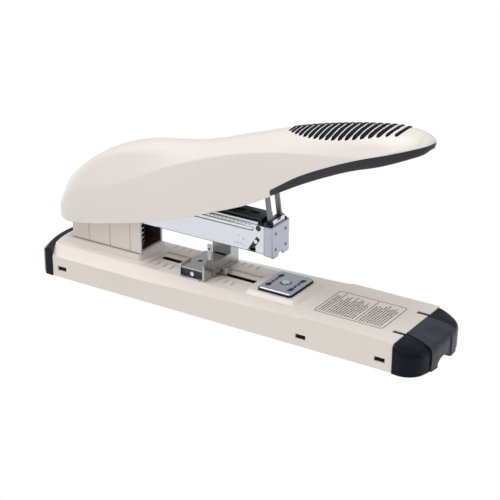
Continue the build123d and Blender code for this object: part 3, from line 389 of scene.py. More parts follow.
def thicken(piece, thickness, thin_from, thin_to):
    """Turns an open skin into a shell whose wall gets thinner between two places along X."""
    group = piece.vertex_groups.new(name="wall")
    for vertex in piece.data.vertices:
        share = (thin_to - vertex.co.x / MM) / (thin_to - thin_from)
        group.add([vertex.index], clamp(share, THINNEST, 1.0), "REPLACE")
    modifier = piece.modifiers.new("shell", "SOLIDIFY")
    modifier.thickness = thickness * MM
    modifier.offset = -1.0
    modifier.vertex_group = "wall"
    graph = bpy.context.evaluated_depsgraph_get()
    mesh = bpy.data.meshes.new_from_object(piece.evaluated_get(graph))
    piece.modifiers.clear()
    old = piece.data
    piece.data = mesh
    bpy.data.meshes.remove(old)
    piece.vertex_groups.clear()


def add_block(vertices, faces, low, high, edge):
    """Adds a block between two corners, with bevels as wide as edge."""
    block = bmesh.new()
    bmesh.ops.create_cube(block, size=1.0)
    for v in block.verts:
        for axis in range(3):
            v.co[axis] = low[axis] if v.co[axis] < 0 else high[axis]
    bmesh.ops.bevel(block, geom=block.edges[:], offset=edge, segments=2, profile=0.5, affect="EDGES")
    first = len(vertices)
    block.verts.index_update()
    vertices.extend(v.co * MM for v in block.verts)
    faces.extend(tuple(first + v.index for v in f.verts) for f in block.faces)
    block.free()


def add_side_block(vertices, faces, side, x, y, z, edge):
    """Adds a block on one side of the middle; y gives its distances from the middle."""
    low, high = sorted((side * y[0], side * y[1]))
    add_block(vertices, faces, (x[0], low, z[0]), (x[1], high, z[1]), edge)


def add_rod(vertices, faces, start, end, radius, sides, dome):
    """Adds a pin between two points, its ends slightly domed."""
    start, end = Vector(start), Vector(end)
    axis = (end - start).normalized()
    side = axis.orthogonal().normalized()
    other = axis.cross(side)
    first = len(vertices)
    rings = [(0.0, 0.55), (dome * 0.4, 0.85), (dome, 1.0)]
    length = (end - start).length
    stations = rings + [(length - distance, share) for distance, share in reversed(rings)]
    for distance, share in stations:
        centre = start + axis * distance
        for k in range(sides):
            angle = 2 * math.pi * k / sides
            outward = side * math.cos(angle) + other * math.sin(angle)
            vertices.append((centre + outward * radius * share) * MM)
    for ring in range(len(stations) - 1):
        for k in range(sides):
            a = first + ring * sides + k
            b = first + ring * sides + (k + 1) % sides
            faces.append((a, b, b + sides, a + sides))
    last = first + (len(stations) - 1) * sides
    faces.append(tuple(first + k for k in reversed(range(sides))))
    faces.append(tuple(last + k for k in range(sides)))


def add_strip(vertices, faces, x, y, z):
    """Adds a flat rectangle at one height."""
    first = len(vertices)
    for corner in ((x[0], y[0], z), (x[1], y[0], z), (x[1], y[1], z), (x[0], y[1], z)):
        vertices.append(Vector(corner) * MM)
    faces.append(tuple(range(first, first + 4)))


# ---- handle: soft-creased cover, dark trim and inlaid ribs ----
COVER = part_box("handle_cover")
REAR_X = COVER[0][0] / MM
NOSE_X = COVER[1][0] / MM
NOSE_Z = 133.2
RIM_REAR = 37.2
TRIM_FROM = 29.6                    # the dark trim starts here and runs to the nose

# side view of the handle, as (x, z) points
TOP = (
    (REAR_X, 44), (-137.5, 56), (-130, 66), (-118, 76.4), (-101, 87.4), (-83, 95), (-65, 100), (-28, 106.2),
    (6, 117), (40, 127.6), (72, 135), (98, 138.8), (110, 139.1), (118, 138.4), (122.6, 137.0), (125.4, 135.2),
    (NOSE_X, NOSE_Z),
)
RIM = (
    (REAR_X, RIM_REAR), (-121, 36.6), (-92.7, 42.1), (-65, 48.9), (-36.3, 58), (-15.8, 66), (11.9, 77.2),
    (TRIM_FROM, 86.6),
)
SEAM = (
    (TRIM_FROM, 90.6), (48.6, 103), (69.7, 113.5), (90.3, 122.1), (110.3, 128.9), (120, 131.8),
    (NOSE_X, NOSE_Z),
)
TRIM_FOOT = (
    (TRIM_FROM, 86.6), (54, 99.8), (80.3, 111.8), (100.5, 118.8), (118, 125.6), (123.6, 127.9),
    (NOSE_X, 130.6),
)
LOW_CREASE = (
    (REAR_X, 41), (-133, 49), (-124, 59.5), (-112, 64.5), (-95.2, 67.4), (-72.5, 77.1), (-48.5, 89.1),
    (-19.7, 100.7), (8, 109.4), (38.2, 115.9), (64.9, 119.5), (90.7, 123.5), (110, 130),
    (NOSE_X, NOSE_Z + 0.5),
)
HIGH_CREASE = (
    (REAR_X, 42), (-133, 54), (-124, 65), (-112.1, 78.2), (-93.2, 88.6), (-72.9, 93.6), (-43.4, 98.6),
    (-14.9, 105.4), (18.8, 116.2), (44.8, 122.6), (75, 128.5), (100, 133.2), (115, 134.8),
    (NOSE_X, NOSE_Z + 1),
)

# plan view
HALF = 17.5
GRIP_HALF = 18.7
REAR_MIDDLE = REAR_X + HALF         # centre of the half-round rear
NOSE_START = 96.0
NOSE_BLUNT = 2.1                    # 2 is an ellipse, more is blunter
WIDTHS = ((REAR_MIDDLE, HALF), (10, HALF), (60, 18.4), (NOSE_START, GRIP_HALF))

# sections
RIDGE_SHARE = ((-150, 0.7), (-121, 0.8), (-100, 0.66), (20, 0.7), (60, 0.76), (130, 0.8))
SIDE_DRAFT = 0.015                  # the rim is narrower than the widest place by this share
REAR_BLEND = (-124.0, -98.0)        # the creases sharpen between these two places
SIDE_RADIUS = 9.0
LOW_RADIUS = (0.9, 12.0)            # radius of a crease, and what is added to it at the rear
HIGH_RADIUS = (3.5, 8.0)
RIDGE_RADIUS = 5.0
CORNER_STEPS = 5

COVER_WALL = 2.0
THIN_X = (108.0, 122.0)             # the wall gets thinner between these two places
STEP = 0.03                         # half-length of the step in the rim where the trim starts
SEAM_GAP = 0.15


def plan_half(x):
    """Half-width of the handle seen from above: a half-round rear and a blunt nose."""
    if x < REAR_MIDDLE:
        return math.sqrt(max(HALF ** 2 - (x - REAR_MIDDLE) ** 2, 0.0))
    wide = smooth(WIDTHS, x)
    if x > NOSE_START:
        share = min((x - NOSE_START) / (NOSE_X - NOSE_START), 1.0)
        return wide * math.sqrt(1 - share ** NOSE_BLUNT)
    return wide


def handle_section(x, top, low):
    """Half outline of the handle at x, from the rim up to the ridge, as (y, z) points."""
    half = plan_half(x)
    foot = low if x < TRIM_FROM else min(smooth(TRIM_FOOT, x), low)
    rear = 1 - clamp((x - REAR_BLEND[0]) / (REAR_BLEND[1] - REAR_BLEND[0]), 0.0, 1.0)
    first = clamp(smooth(LOW_CREASE, x), low + 0.05, top - 0.04)
    second = clamp(smooth(HIGH_CREASE, x), first + 0.02, top - 0.02)
    inner = half * smooth(RIDGE_SHARE, x)
    widest = max(foot + 0.5 * (first - foot), low + 0.3 * (first - low))
    side = half * (1 - SIDE_DRAFT + SIDE_DRAFT * (low - foot) / (widest - foot))
    corners = ((side, low), (half, widest), (half * 0.99, first), (inner, second),
               (0.5 * inner, top - 0.16 * (top - second)), (0.0, top))
    radii = (SIDE_RADIUS, LOW_RADIUS[0] + LOW_RADIUS[1] * rear, HIGH_RADIUS[0] + HIGH_RADIUS[1] * rear,
             RIDGE_RADIUS)
    return rounded(corners, radii, CORNER_STEPS)


def both_sides(x, half):
    """A whole section at x, from a half outline that ends in the middle."""
    return [(x, -y, z) for y, z in half] + [(x, y, z) for y, z in reversed(half[:-1])]


def make_handle_cover(materials):
    """The cream cover as one skin, stepped up where the trim starts and then thickened."""
    stations = [(p.x, p.y) for p in curve_points(TOP, 8)]
    stations = [s for s in stations if abs(s[0] - TRIM_FROM) > 0.5]
    stations += [(TRIM_FROM + step, smooth(TOP, TRIM_FROM)) for step in (-STEP, STEP)]
    rows = []
    for x, top in sorted(stations):
        low = smooth(RIM, x) if x < TRIM_FROM else smooth(SEAM, x) + SEAM_GAP
        rows.append(both_sides(x, handle_section(x, top, min(low, top))))
    vertices = [Vector(p) * MM for row in rows for p in row]
    faces = grid_faces(len(rows), len(rows[0]))
    piece = make_piece("handle_cover_shell", vertices, faces, "handle",
                       materials["cream_plastic"], ("handle_cover",), 80.0)
    thicken(piece, COVER_WALL, *THIN_X)


TRIM_GAP = 0.25                     # between the cover's step and the trim
TRIM_PROUD = 0.12                   # the trim stands out from the cover
TRIM_BULGE = 0.3
TRIM_UNDERCUT = 1.6
TRIM_LEAST = 0.3                    # least height, at the nose
TRIM_STATIONS = 70


def make_handle_trim(materials):
    """The dark trim under the grip, as one closed bar."""
    start = TRIM_FROM + TRIM_GAP
    rows = []
    for k in range(TRIM_STATIONS):
        share = math.sin(0.5 * math.pi * k / (TRIM_STATIONS - 1))
        x = start + (NOSE_X - start) * share
        half = plan_half(x) + TRIM_PROUD
        high = smooth(SEAM, x)
        low = min(smooth(TRIM_FOOT, x), high - TRIM_LEAST)
        deep = high - low
        corners = ((half - 0.05, high), (half + TRIM_BULGE, high - 0.55 * deep),
                   (max(half - TRIM_UNDERCUT, 0.0), low), (0.5 * half, low + 0.3), (0.0, low + 0.5))
        rows.append(both_sides(x, rounded(corners, (0.3 * deep, 2.4, 4.0), CORNER_STEPS)))
    vertices = [Vector(p) * MM for row in rows for p in row]
    columns = len(rows[0])
    faces = bar_faces(TRIM_STATIONS, columns)
    faces.append(tuple(range(columns)))
    make_piece("handle_grip_trim", vertices, faces, "handle", materials["trim_plastic"],
               ("handle_trim",), 60.0)


def cover_height(x, y):
    """Height of the cover's outer skin over a point of the plan."""
    top = smooth(TOP, x)
    outline = handle_section(x, top, smooth(SEAM, x))
    for (y0, z0), (y1, z1) in zip(outline, outline[1:]):
        if y1 <= abs(y) <= y0 and y0 > y1:
            return z0 + (z1 - z0) * (y0 - abs(y)) / (y0 - y1)
    return top


RIB_COUNT = 18
RIB_FIRST = 36.0
RIB_SPAN = 73.1
RIB_SPREAD = 1.10                   # the ribs stand further apart towards the nose
RIB_SHARE = 0.70                    # rib width as a share of the gap to the next one
NARROW_RIBS = 2                     # the last ribs are narrower
NARROW_SHARE = 0.75
RIB_RADIUS = 22.0
RIB_RISE = 0.45
RIB_STEPS = 24
RIB_PROFILE = ((-0.5, -0.9), (-0.5, 0.35), (-0.36, 0.85), (0.0, 1.0), (0.36, 0.85), (0.5, 0.35), (0.5, -0.9))
LENS_MIDDLE = 78.0                  # the ribs fill a lens shape
LENS_LENGTH = 46.0
LENS_WIDTH = 13.2


def rib_place(number):
    """Place of a rib along X."""
    return RIB_FIRST + RIB_SPAN * (number / (RIB_COUNT - 1)) ** RIB_SPREAD


def make_grip_ribs(materials):
    """Curved rubber bars let into the top of the grip, within a lens shape."""
    vertices = []
    faces = []
    columns = len(RIB_PROFILE)
    for number in range(RIB_COUNT):
        middle = rib_place(number)
        width = (rib_place(number + 1) - middle) * RIB_SHARE
        if number >= RIB_COUNT - NARROW_RIBS:
            width *= NARROW_SHARE
        reach = LENS_WIDTH * math.sqrt(1 - ((middle - LENS_MIDDLE) / LENS_LENGTH) ** 2)
        spread = math.asin(reach / RIB_RADIUS)
        first = len(vertices)
        for k in range(RIB_STEPS + 1):
            share = 2 * k / RIB_STEPS - 1
            angle = spread * share
            end = max(math.sqrt(1 - abs(share) ** 20), 0.25)
            for across, rise in RIB_PROFILE:
                radius = RIB_RADIUS + across * width * end
                x = middle - RIB_RADIUS + radius * math.cos(angle)
                y = radius * math.sin(angle)
                z = cover_height(x, y) + (rise * RIB_RISE if rise > 0 else rise)
                vertices.append(Vector((x, y, z)) * MM)
        faces += [tuple(first + i for i in face) for face in bar_faces(RIB_STEPS + 1, columns)]
        faces.append(tuple(first + i for i in range(columns)))
        faces.append(tuple(first + RIB_STEPS * columns + i for i in reversed(range(columns))))
    make_piece("handle_grip_bars", vertices, faces, "handle", materials["rubber"],
               ("grip_ribs",), 50.0)


# ---- printed panel on the base: a frame, dividers and rows of dashes ----
PANEL_X = (60.0, 107.0)
PANEL_HALF = 16.5
PANEL_Z = 20.04                     # just above the flat top of the base
PANEL_LINE = 0.5
PANEL_CORNER = 2.4
ARC_STEPS = 6
DIVIDERS_X = (65.6, 87.6)
DIVIDER_MARGIN = 1.6
ROW_PITCH = 1.75
ROWS_X = (62.0, 63.7, *(67.4 + ROW_PITCH * k for k in range(11)), *(89.6 + ROW_PITCH * k for k in range(9)))
ROW_MARGIN = 2.4
ROW_RAGGED = 9.0                    # rows may end this much early
DASH_WIDTH = 0.85
DASH_LENGTHS = (0.6, 2.2)
DASH_GAPS = (0.4, 0.7)
PANEL_SEED = 11


def make_panel(materials):
    """A rounded frame, two dividers and rows of dashes of random length, with no lettering."""
    vertices = []
    faces = []
    left, right = PANEL_X[0] + PANEL_CORNER, PANEL_X[1] - PANEL_CORNER
    deep = PANEL_HALF - PANEL_CORNER
    for cx, cy, start in ((right, deep, 0), (left, deep, 90), (left, -deep, 180), (right, -deep, 270)):
        for k in range(ARC_STEPS + 1):
            angle = math.radians(start + 90 * k / ARC_STEPS)
            for radius in (PANEL_CORNER, PANEL_CORNER - PANEL_LINE):
                point = (cx + radius * math.cos(angle), cy + radius * math.sin(angle), PANEL_Z)
                vertices.append(Vector(point) * MM)
    count = len(vertices)
    for a in range(0, count, 2):
        b = (a + 2) % count
        faces.append((a, b, b + 1, a + 1))
    divider_y = (-PANEL_HALF + DIVIDER_MARGIN, PANEL_HALF - DIVIDER_MARGIN)
    for x in DIVIDERS_X:
        add_strip(vertices, faces, (x, x + PANEL_LINE), divider_y, PANEL_Z)
    dice = random.Random(PANEL_SEED)
    for x in ROWS_X:
        y = -PANEL_HALF + ROW_MARGIN
        stop = PANEL_HALF - ROW_MARGIN - dice.uniform(0.0, ROW_RAGGED)
        while y < stop:
            length = dice.uniform(*DASH_LENGTHS)
            add_strip(vertices, faces, (x, x + DASH_WIDTH), (y, min(y + length, stop)), PANEL_Z)
            y += length + dice.uniform(*DASH_GAPS)
    make_piece("base_info_panel", vertices, faces, "base", materials["print"])


# ---- front cap: two low lobes, a raised lighter band, a thumb dent and an arched foot ----
CUT_X = 121.35                      # the shell's front cut
CAP_FOOT = 0.8
BAND_CUT = 13.0                     # half-width of the band at the cut
BAND_HALF = 16.0                    # and at its front end
BAND_LENGTH = 18.6
BAND_OUTLINE = ((140.9, 0.0), (140.75, 4.0), (140.6, 8.0), (140.3, 12.0), (139.9, BAND_HALF))
BAND_HEIGHTS = (19.95, 15.8)        # at the cut and at the front edge
BAND_RADII = (8.0, 4.5)
BAND_ROWS = 33
FACE_HALF = 9.0                     # the middle of the band's front is set back
FACE_RECESS = 0.8
ARCH_HALF = 8.0
ARCH_HEIGHT = 4.6
ARCH_DEPTH = 9.0
DENT = (133.5, 0.0, 8.5, 1.5)       # x, y, radius and depth of the thumb dent
DENT_ABOVE = 8.0
LOBE_CUT = 29.6                     # half-width of the cap at the cut
LOBE_OUTLINE = (
    (139.0, BAND_HALF), (138.2, 20.0), (136.9, 24.2), (134.2, 27.9), (130.6, 30.2), (126.8, 31.1),
    (CUT_X, 30.7),
)
LOBE_TOP = 19.5
SHELL_CORNER = 28.0                 # the top slopes down outside this
LOBE_SHOULDER = 14.9
SHOULDER_RISE = 3.3                 # the shoulder climbs towards the cut
LOBE_RADII = (7.0, 3.6)
LOBE_ROWS = 26
GROOVE = 0.02                       # between the band and a lobe
PROFILE_STEPS = 34
LUG = ((113.9, CUT_X + 0.2), (13.95, 16.65), (16.0, 19.6))
TONGUE = ((108.5, CUT_X + 0.2), (26.2, 28.0), (3.0, 12.0))


def cap_profile(start, end, heights, radii, arch, recess):
    """A closed section of the cap: over the top, round the shoulder, down the wall and back."""
    start_top, end_top = heights
    middle = Vector(start).lerp(Vector(end), 0.5)
    outer = Vector((end[0] - recess, end[1]))
    corners = [
        (start[0], start[1], start_top),
        (middle.x, middle.y, start_top + 0.3 * (end_top - start_top)),
        (outer.x, outer.y, end_top),
        (outer.x - 0.3, outer.y * 0.99, CAP_FOOT + arch),
    ]
    line = rounded(corners, radii, 8)
    points = [point_along(line, k / (PROFILE_STEPS - 1)) for k in range(PROFILE_STEPS)]
    for point in points:
        away = math.hypot(point.x - DENT[0], point.y - DENT[1]) / DENT[2]
        if away < 1 and point.z > DENT_ABOVE:
            point.z -= DENT[3] * (1 - away ** 2) ** 2
    inward = max(outer.x - ARCH_DEPTH, CUT_X)
    points.append(Vector((inward, outer.y * 0.97, CAP_FOOT + arch)))
    points.append(Vector((inward, outer.y * 0.97, CAP_FOOT)))
    points.append(Vector((start[0], start[1], CAP_FOOT)))
    return points


def cap_half():
    """Sections from the middle of the cap to its side."""
    sections = []
    band_line = curve_points(BAND_OUTLINE, 6)
    for k in range(BAND_ROWS):
        share = k / (BAND_ROWS - 1)
        y = BAND_HALF * share
        recess = FACE_RECESS if y < FACE_HALF else 0.0
        arch = ARCH_HEIGHT * math.sqrt(max(1 - (y / ARCH_HALF) ** 2, 0.0))
        sections.append(cap_profile((CUT_X, BAND_CUT * share), point_along(band_line, share),
                                    BAND_HEIGHTS, BAND_RADII, arch, recess))
    lobe_line = curve_points(LOBE_OUTLINE, 8)
    for k in range(LOBE_ROWS):
        share = k / (LOBE_ROWS - 1)
        y = BAND_CUT + GROOVE + (LOBE_CUT - BAND_CUT) * share ** 0.8
        top = LOBE_TOP - 0.5 * max(y - SHELL_CORNER, 0.0)
        shoulder = LOBE_SHOULDER + SHOULDER_RISE * max((share - 0.55) / 0.45, 0.0) ** 1.6
        sections.append(cap_profile((CUT_X, y), point_along(lobe_line, share),
                                    (top, min(shoulder, top)), LOBE_RADII, 0.0, 0.0))
    return sections


def make_front_cap(materials):
    half = cap_half()
    rows = [[Vector((p.x, -p.y, p.z)) for p in row] for row in reversed(half[1:])] + half
    vertices = [p * MM for row in rows for p in row]
    columns = len(rows[0])
    faces = bar_faces(len(rows), columns)
    faces.append(tuple(range(columns)))
    faces.append(tuple((len(rows) - 1) * columns + c for c in reversed(range(columns))))
    for side in (-1, 1):
        add_side_block(vertices, faces, side, *LUG, 0.2)
        add_side_block(vertices, faces, side, *TONGUE, 0.2)
    piece = make_piece("front_cap_body", vertices, faces, "base", materials["dark_plastic"],
                       ("front_end_cap",), 38.0)
    piece.data.materials.append(materials["band_plastic"])
    for face in piece.data.polygons:
        x, y, z = face.center / MM
        edge = BAND_CUT + (BAND_HALF - BAND_CUT) * clamp((x - CUT_X) / BAND_LENGTH, 0.0, 1.0)
        if x > CUT_X and abs(y) < edge:
            face.material_index = 1


# ---- anvil plate: two pairs of pressed crimp grooves ----
ANVIL_X = 30.6
ANVIL_TOP = 24.5
ANVIL_SHEET = 1.1
ANVIL_HALF = (11.8, 14.0)
ANVIL_CORNER = 2.0
ANVIL_CELLS = (72, 86)
ANVIL_BEVEL = (0.45, 0.3)           # width and drop of the soft edge
CRIMP_X = (-7.9, 7.9)
POCKET_Y = 7.4                      # a deep pocket at each end of a crimp groove
POCKET_HALF = (1.9, 2.6)
POCKET_DEPTH = 0.85
TROUGH_HALF = 1.0
TROUGH_DEPTH = 0.5
TROUGH_BEND = 0.45
LIP = (1.35, 0.14)                  # reach and height of the raised lip round a groove
RING = (3.3, 0.45, 0.4)             # radius, half-width and depth of the ring round the rivet
# painted shade: faces pressed deeper than the value below are painted black in place of the shadow in the
# grooves
PAINTED_SHADE_BELOW = 0.16                   # faces pressed deeper than this are dark
PAINTED_SHADE_MARGIN = 1.0


def anvil_height(x, y):
    """Height of the plate's top: bevelled edges, two crimp grooves with lips, a ring at the rivet."""
    edge = min(ANVIL_HALF[0] - abs(x), ANVIL_HALF[1] - abs(y))
    height = ANVIL_TOP - ANVIL_BEVEL[1] * max(1 - edge / ANVIL_BEVEL[0], 0.0) ** 2
    for cx in CRIMP_X:
        pocket = math.hypot((x - cx) / POCKET_HALF[0], (abs(y) - POCKET_Y) / POCKET_HALF[1])
        bent = cx + TROUGH_BEND * math.sin(1.5 * y)
        trough = abs(x - bent) / TROUGH_HALF if abs(y) < POCKET_Y else 2 * LIP[0]
        if pocket < 1:
            height -= POCKET_DEPTH * (1 - pocket ** 4)
        elif trough < 1:
            height -= TROUGH_DEPTH * (1 - trough ** 2)
        elif min(pocket, trough) < LIP[0]:
            height += LIP[1] * math.sin(math.pi * (min(pocket, trough) - 1) / (LIP[0] - 1))
    ring = abs(math.hypot(x, y) - RING[0]) / RING[1]
    if ring < 1:
        height -= RING[2] * (1 - ring ** 2)
    return height


def make_anvil_plate(materials):
    """The top as a fine grid with rounded corners, closed by a rim and a flat underside."""
    columns, count = ANVIL_CELLS
    vertices = []
    for j in range(count + 1):
        for i in range(columns + 1):
            x = ANVIL_HALF[0] * (2 * i / columns - 1)
            y = ANVIL_HALF[1] * (2 * j / count - 1)
            height = anvil_height(x, y)
            dx = abs(x) - ANVIL_HALF[0] + ANVIL_CORNER
            dy = abs(y) - ANVIL_HALF[1] + ANVIL_CORNER
            if dx > 0 and dy > 0:
                pull = max(dx, dy) / math.hypot(dx, dy)
                x = math.copysign(ANVIL_HALF[0] - ANVIL_CORNER + dx * pull, x)
                y = math.copysign(ANVIL_HALF[1] - ANVIL_CORNER + dy * pull, y)
            vertices.append(Vector((ANVIL_X + x, y, height)) * MM)
    width = columns + 1
    faces = grid_faces(count + 1, width)
    rim = list(range(width))
    rim += [j * width + columns for j in range(1, count + 1)]
    rim += [count * width + i for i in reversed(range(columns))]
    rim += [j * width for j in reversed(range(1, count))]
    first = len(vertices)
    for index in rim:
        point = vertices[index]
        vertices.append(Vector((point.x, point.y, (ANVIL_TOP - ANVIL_SHEET) * MM)))
    size = len(rim)
    for k in range(size):
        after = (k + 1) % size
        faces.append((rim[k], first + k, first + after, rim[after]))
    faces.append(tuple(first + k for k in reversed(range(size))))
    piece = make_piece("anvil_crimp_plate", vertices, faces, "anvil",
                       materials["anvil_steel"], ("anvil_plate",), 28.0)
    # painted shade: the deep faces of the grooves and pockets get black paint
    piece.data.materials.append(materials["black_steel"])
    for face in piece.data.polygons:
        x, y, z = face.center / MM
        inside = abs(x - ANVIL_X) < ANVIL_HALF[0] - PAINTED_SHADE_MARGIN and abs(y) < ANVIL_HALF[1] - PAINTED_SHADE_MARGIN
        if inside and ANVIL_TOP - ANVIL_SHEET + 0.05 < z < ANVIL_TOP - PAINTED_SHADE_BELOW:
            face.material_index = 1


# ---- head details: blocks as ranges along x, y and z, with y counted outwards on both sides ----
HEAD_HALF = 9.75
BAR = ((-67.0, 12.9), (HEAD_HALF - 1.0, HEAD_HALF + 0.7), (58.95, 61.3))
RAIL = ((-62.0, 15.6), (7.2, 8.6), (62.5, 64.3))
# painted shade: the hole and the latch slot are filled with dark pieces between these depths
PAINTED_SHADE_Y = (HEAD_HALF - 1.15, HEAD_HALF - 0.15)
MARK_Y = (HEAD_HALF - 0.05, HEAD_HALF + 0.03)
MARK_EDGE = 0.02
HOLE_X, HOLE_Z, HOLE_R = 16.6, 60.7, 1.85
HOLE_PROUD = 0.06
LATCH_PATH = ((16.7, 54.3), (11.2, 46.2), (14.7, 46.2))
LATCH_R = 1.38
LATCH_STEPS = 8
DASHES_X = (-60.0, 11.0)
DASHES_Z = (61.95, 62.27)
DASH_LENGTH = 1.7
DASH_PITCH = 2.9
EDGE_LINE = ((-60.0, 20.6), MARK_Y, (44.5, 44.8))
STAMPS = 9                          # small random marks, the same on both sides
STAMP_X = (-1.0, 9.0)
STAMP_Z = (46.2, 53.0)
STAMP_LENGTHS = (0.5, 1.3)
STAMP_HEIGHTS = (0.15, 0.5)
STAMP_SEED = 5
GUARDS = ((-1, 64.2, 18.0), (1, 65.6, 17.6))    # side, top and rear end
GUARD_Y = (7.1, 9.5)
GUARD_FOOT = 60.9
GUARD_FRONT = 25.3


def make_head_details(materials):
    """Bright bar in the side slot, painted shade as dark discs and rods in the hole and the latch slot,
    guards and edge marks.
    """
    bars, bars_faces = [], []
    darks, darks_faces = [], []
    for side in (-1, 1):
        add_side_block(bars, bars_faces, side, *BAR, 0.65)
        add_side_block(bars, bars_faces, side, *RAIL, 0.4)
        # painted shade: a dark disc over the hole and dark rods along the latch slot
        inner, outer = side * PAINTED_SHADE_Y[0], side * PAINTED_SHADE_Y[1]
        proud = side * (HEAD_HALF + HOLE_PROUD)
        add_rod(darks, darks_faces, (HOLE_X, inner, HOLE_Z), (HOLE_X, proud, HOLE_Z), HOLE_R, 24, 0.02)
        for (x0, z0), (x1, z1) in zip(LATCH_PATH, LATCH_PATH[1:]):
            for k in range(LATCH_STEPS + 1):
                x = x0 + (x1 - x0) * k / LATCH_STEPS
                z = z0 + (z1 - z0) * k / LATCH_STEPS
                add_rod(darks, darks_faces, (x, inner, z), (x, outer, z), LATCH_R, 16, 0.1)
        x = DASHES_X[0]
        while x < DASHES_X[1]:
            add_side_block(darks, darks_faces, side, (x, x + DASH_LENGTH), MARK_Y, DASHES_Z, MARK_EDGE)
            x += DASH_PITCH
        add_side_block(darks, darks_faces, side, *EDGE_LINE, MARK_EDGE)
        dice = random.Random(STAMP_SEED)
        for _ in range(STAMPS):
            x = dice.uniform(*STAMP_X)
            z = dice.uniform(*STAMP_Z)
            x_range = (x, x + dice.uniform(*STAMP_LENGTHS))
            z_range = (z, z + dice.uniform(*STAMP_HEIGHTS))
            add_side_block(darks, darks_faces, side, x_range, MARK_Y, z_range, MARK_EDGE)
    for side, top, rear in GUARDS:
        add_side_block(darks, darks_faces, side, (rear, GUARD_FRONT), GUARD_Y, (GUARD_FOOT, top - 1.2), 0.4)
        cap_x = (rear + 2.2, GUARD_FRONT - 1.3)
        add_side_block(darks, darks_faces, side, cap_x, GUARD_Y, (top - 1.6, top), 0.5)
        low, high = sorted((side * GUARD_Y[0], side * GUARD_Y[1]))
        add_rod(darks, darks_faces, (rear + 3.4, low, top), (rear + 3.4, high, top), 1.1, 16, 0.2)
    make_piece("head_side_bars", bars, bars_faces, "head", materials["bright_steel"])
    make_piece("head_painted_shade_marks_and_guards", darks, darks_faces, "head", materials["black_steel"])


# ---- painted shade inside the pillar, where its inside lies in shadow, and the dark seam at its foot ----
# painted shade: dark sheets on the inner walls, the back and the floor of the pillar; the thin strip at the
# foot is the seam
SIDE_PAINTED_SHADE = ((-126.6, -72.2), (10.2, 10.43), (24.9, 50.0))        # ranges along x, y and z
FOOT_SEAM = ((-127.5, -72.2), (11.66, 11.85), (23.32, 23.62))
REAR_PAINTED_SHADE = ((-127.5, -10.2, 24.9), (-127.2, 10.2, 50.0))         # low and high corner
FLOOR_PAINTED_SHADE = ((-126.6, -10.2, 24.55), (-73.6, 10.2, 24.75))


def make_pillar_details(materials):
    sheets, faces = [], []
    for side in (-1, 1):
        add_side_block(sheets, faces, side, *SIDE_PAINTED_SHADE, 0.05)
        add_side_block(sheets, faces, side, *FOOT_SEAM, 0.04)
    add_block(sheets, faces, *REAR_PAINTED_SHADE, 0.05)
    add_block(sheets, faces, *FLOOR_PAINTED_SHADE, 0.05)
    make_piece("pillar_painted_shade_and_seam", sheets, faces, "base", materials["inner_shade"])


# ---- guide details: low and high corners of blocks, both ends of pins ----
CARRIAGE_BLOCK = ((-35.1, -18.1, 21.1), (-19.1, 8.5, 26.1))
STOP_SCREW = ((-18.4, -11.62, 39.6), (-18.4, -11.3, 39.6))
FOOT_LIP = ((-34.6, -20.3, 20.25), (-20.8, -18.2, 20.95))
REAR_LIP = ((-36.0, -18.8, 26.6), (-35.2, -7.0, 28.6))
LOCK_SCREW = ((-26.6, -18.0, 23.5), (-26.6, -19.4, 23.5))


def make_guide_details(materials):
    """Black block in the carriage, two lips of bent sheet and the heads of two small screws."""
    darks, darks_faces = [], []
    add_block(darks, darks_faces, *CARRIAGE_BLOCK, 0.3)
    add_rod(darks, darks_faces, *STOP_SCREW, 0.75, 20, 0.05)
    make_piece("guide_inner_block", darks, darks_faces, "guide", materials["black_steel"])
    lips, lips_faces = [], []
    add_block(lips, lips_faces, *FOOT_LIP, 0.2)
    add_block(lips, lips_faces, *REAR_LIP, 0.25)
    add_rod(lips, lips_faces, *LOCK_SCREW, 1.5, 20, 0.3)
    make_piece("guide_lips", lips, lips_faces, "guide", materials["bright_steel"])


# ---- floor, lights and world ----
FLOOR_HALF = 4.0
SUN_POWER = 1.75
SUN_SPREAD = math.radians(50)
SUN_TILT = (math.radians(14), math.radians(-16), 0.0)
HORIZON = (0.42, 0.43, 0.45, 1.0)
OVERHEAD = (0.95, 0.95, 0.96, 1.0)
OVERHEAD_FROM = 0.8                 # height on the dome where the overhead colour starts
DOME_STRENGTH = 0.8


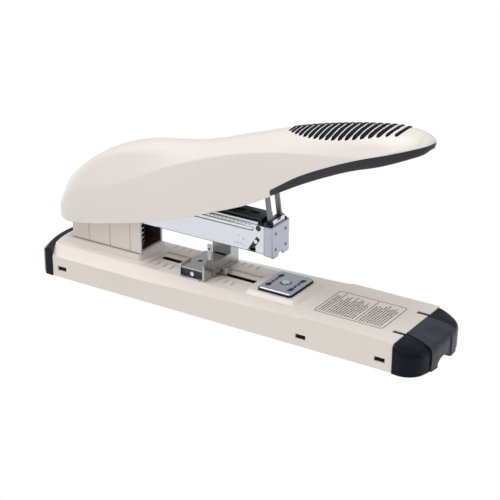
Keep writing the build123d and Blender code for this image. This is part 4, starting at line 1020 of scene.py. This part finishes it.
def make_stage():
    """A floor that shines plain white."""
    mesh = bpy.data.meshes.new("floor")
    corners = [(x * FLOOR_HALF, y * FLOOR_HALF, 0.0) for x, y in ((-1, -1), (1, -1), (1, 1), (-1, 1))]
    mesh.from_pydata(corners, [], [(0, 1, 2, 3)])
    floor = bpy.data.objects.new("floor", mesh)
    bpy.context.scene.collection.objects.link(floor)
    n = Nodes("floor_paper")
    n.value("Base Color", (0.0, 0.0, 0.0, 1.0))
    n.value("Roughness", 1.0)
    n.value("Specular IOR Level", 0.0)
    n.value("Emission Color", (1.0, 1.0, 1.0, 1.0))
    n.value("Emission Strength", 1.0)
    mesh.materials.append(n.material)


def area_light(name, place, aim, size, power):
    data = bpy.data.lights.new(name, "AREA")
    data.shape = "RECTANGLE"
    data.size, data.size_y = size
    data.energy = power
    light = bpy.data.objects.new(name, data)
    light.location = place
    light.rotation_mode = "QUATERNION"
    light.rotation_quaternion = (Vector(aim) - Vector(place)).to_track_quat("-Z", "Y")
    bpy.context.scene.collection.objects.link(light)


def make_world():
    """A studio dome: dim near the horizon and brighter overhead."""
    world = bpy.data.worlds.new("studio")
    world.use_nodes = True
    tree = world.node_tree
    background = tree.nodes["Background"]
    where = tree.nodes.new("ShaderNodeTexCoord")
    split = tree.nodes.new("ShaderNodeSeparateXYZ")
    ramp = tree.nodes.new("ShaderNodeValToRGB")
    low, high = ramp.color_ramp.elements
    low.position, low.color = 0.0, HORIZON
    high.position, high.color = OVERHEAD_FROM, OVERHEAD
    tree.links.new(where.outputs["Generated"], split.inputs["Vector"])
    tree.links.new(split.outputs["Z"], ramp.inputs["Fac"])
    tree.links.new(ramp.outputs["Color"], background.inputs["Color"])
    background.inputs["Strength"].default_value = DOME_STRENGTH
    bpy.context.scene.world = world


def make_lights():
    make_world()
    data = bpy.data.lights.new("overhead_sun", "SUN")
    data.energy = SUN_POWER
    data.angle = SUN_SPREAD
    sun = bpy.data.objects.new("overhead_sun", data)
    sun.rotation_euler = SUN_TILT
    bpy.context.scene.collection.objects.link(sun)
    area_light("front_strip", place=(0.5, -1.1, 0.45), aim=(0.0, 0.0, 0.06), size=(0.9, 0.25), power=0.7)
    area_light("end_strip", place=(1.2, 0.5, 0.4), aim=(0.1, 0.0, 0.05), size=(0.2, 0.6), power=1.0)
    bpy.context.scene.view_settings.view_transform = "Standard"


make_camera()
materials = make_materials()
paint_nodes(materials)
make_handle_cover(materials)
make_handle_trim(materials)
make_grip_ribs(materials)
make_front_cap(materials)
make_anvil_plate(materials)
make_head_details(materials)
make_pillar_details(materials)
make_guide_details(materials)
make_panel(materials)
make_stage()
make_lights()
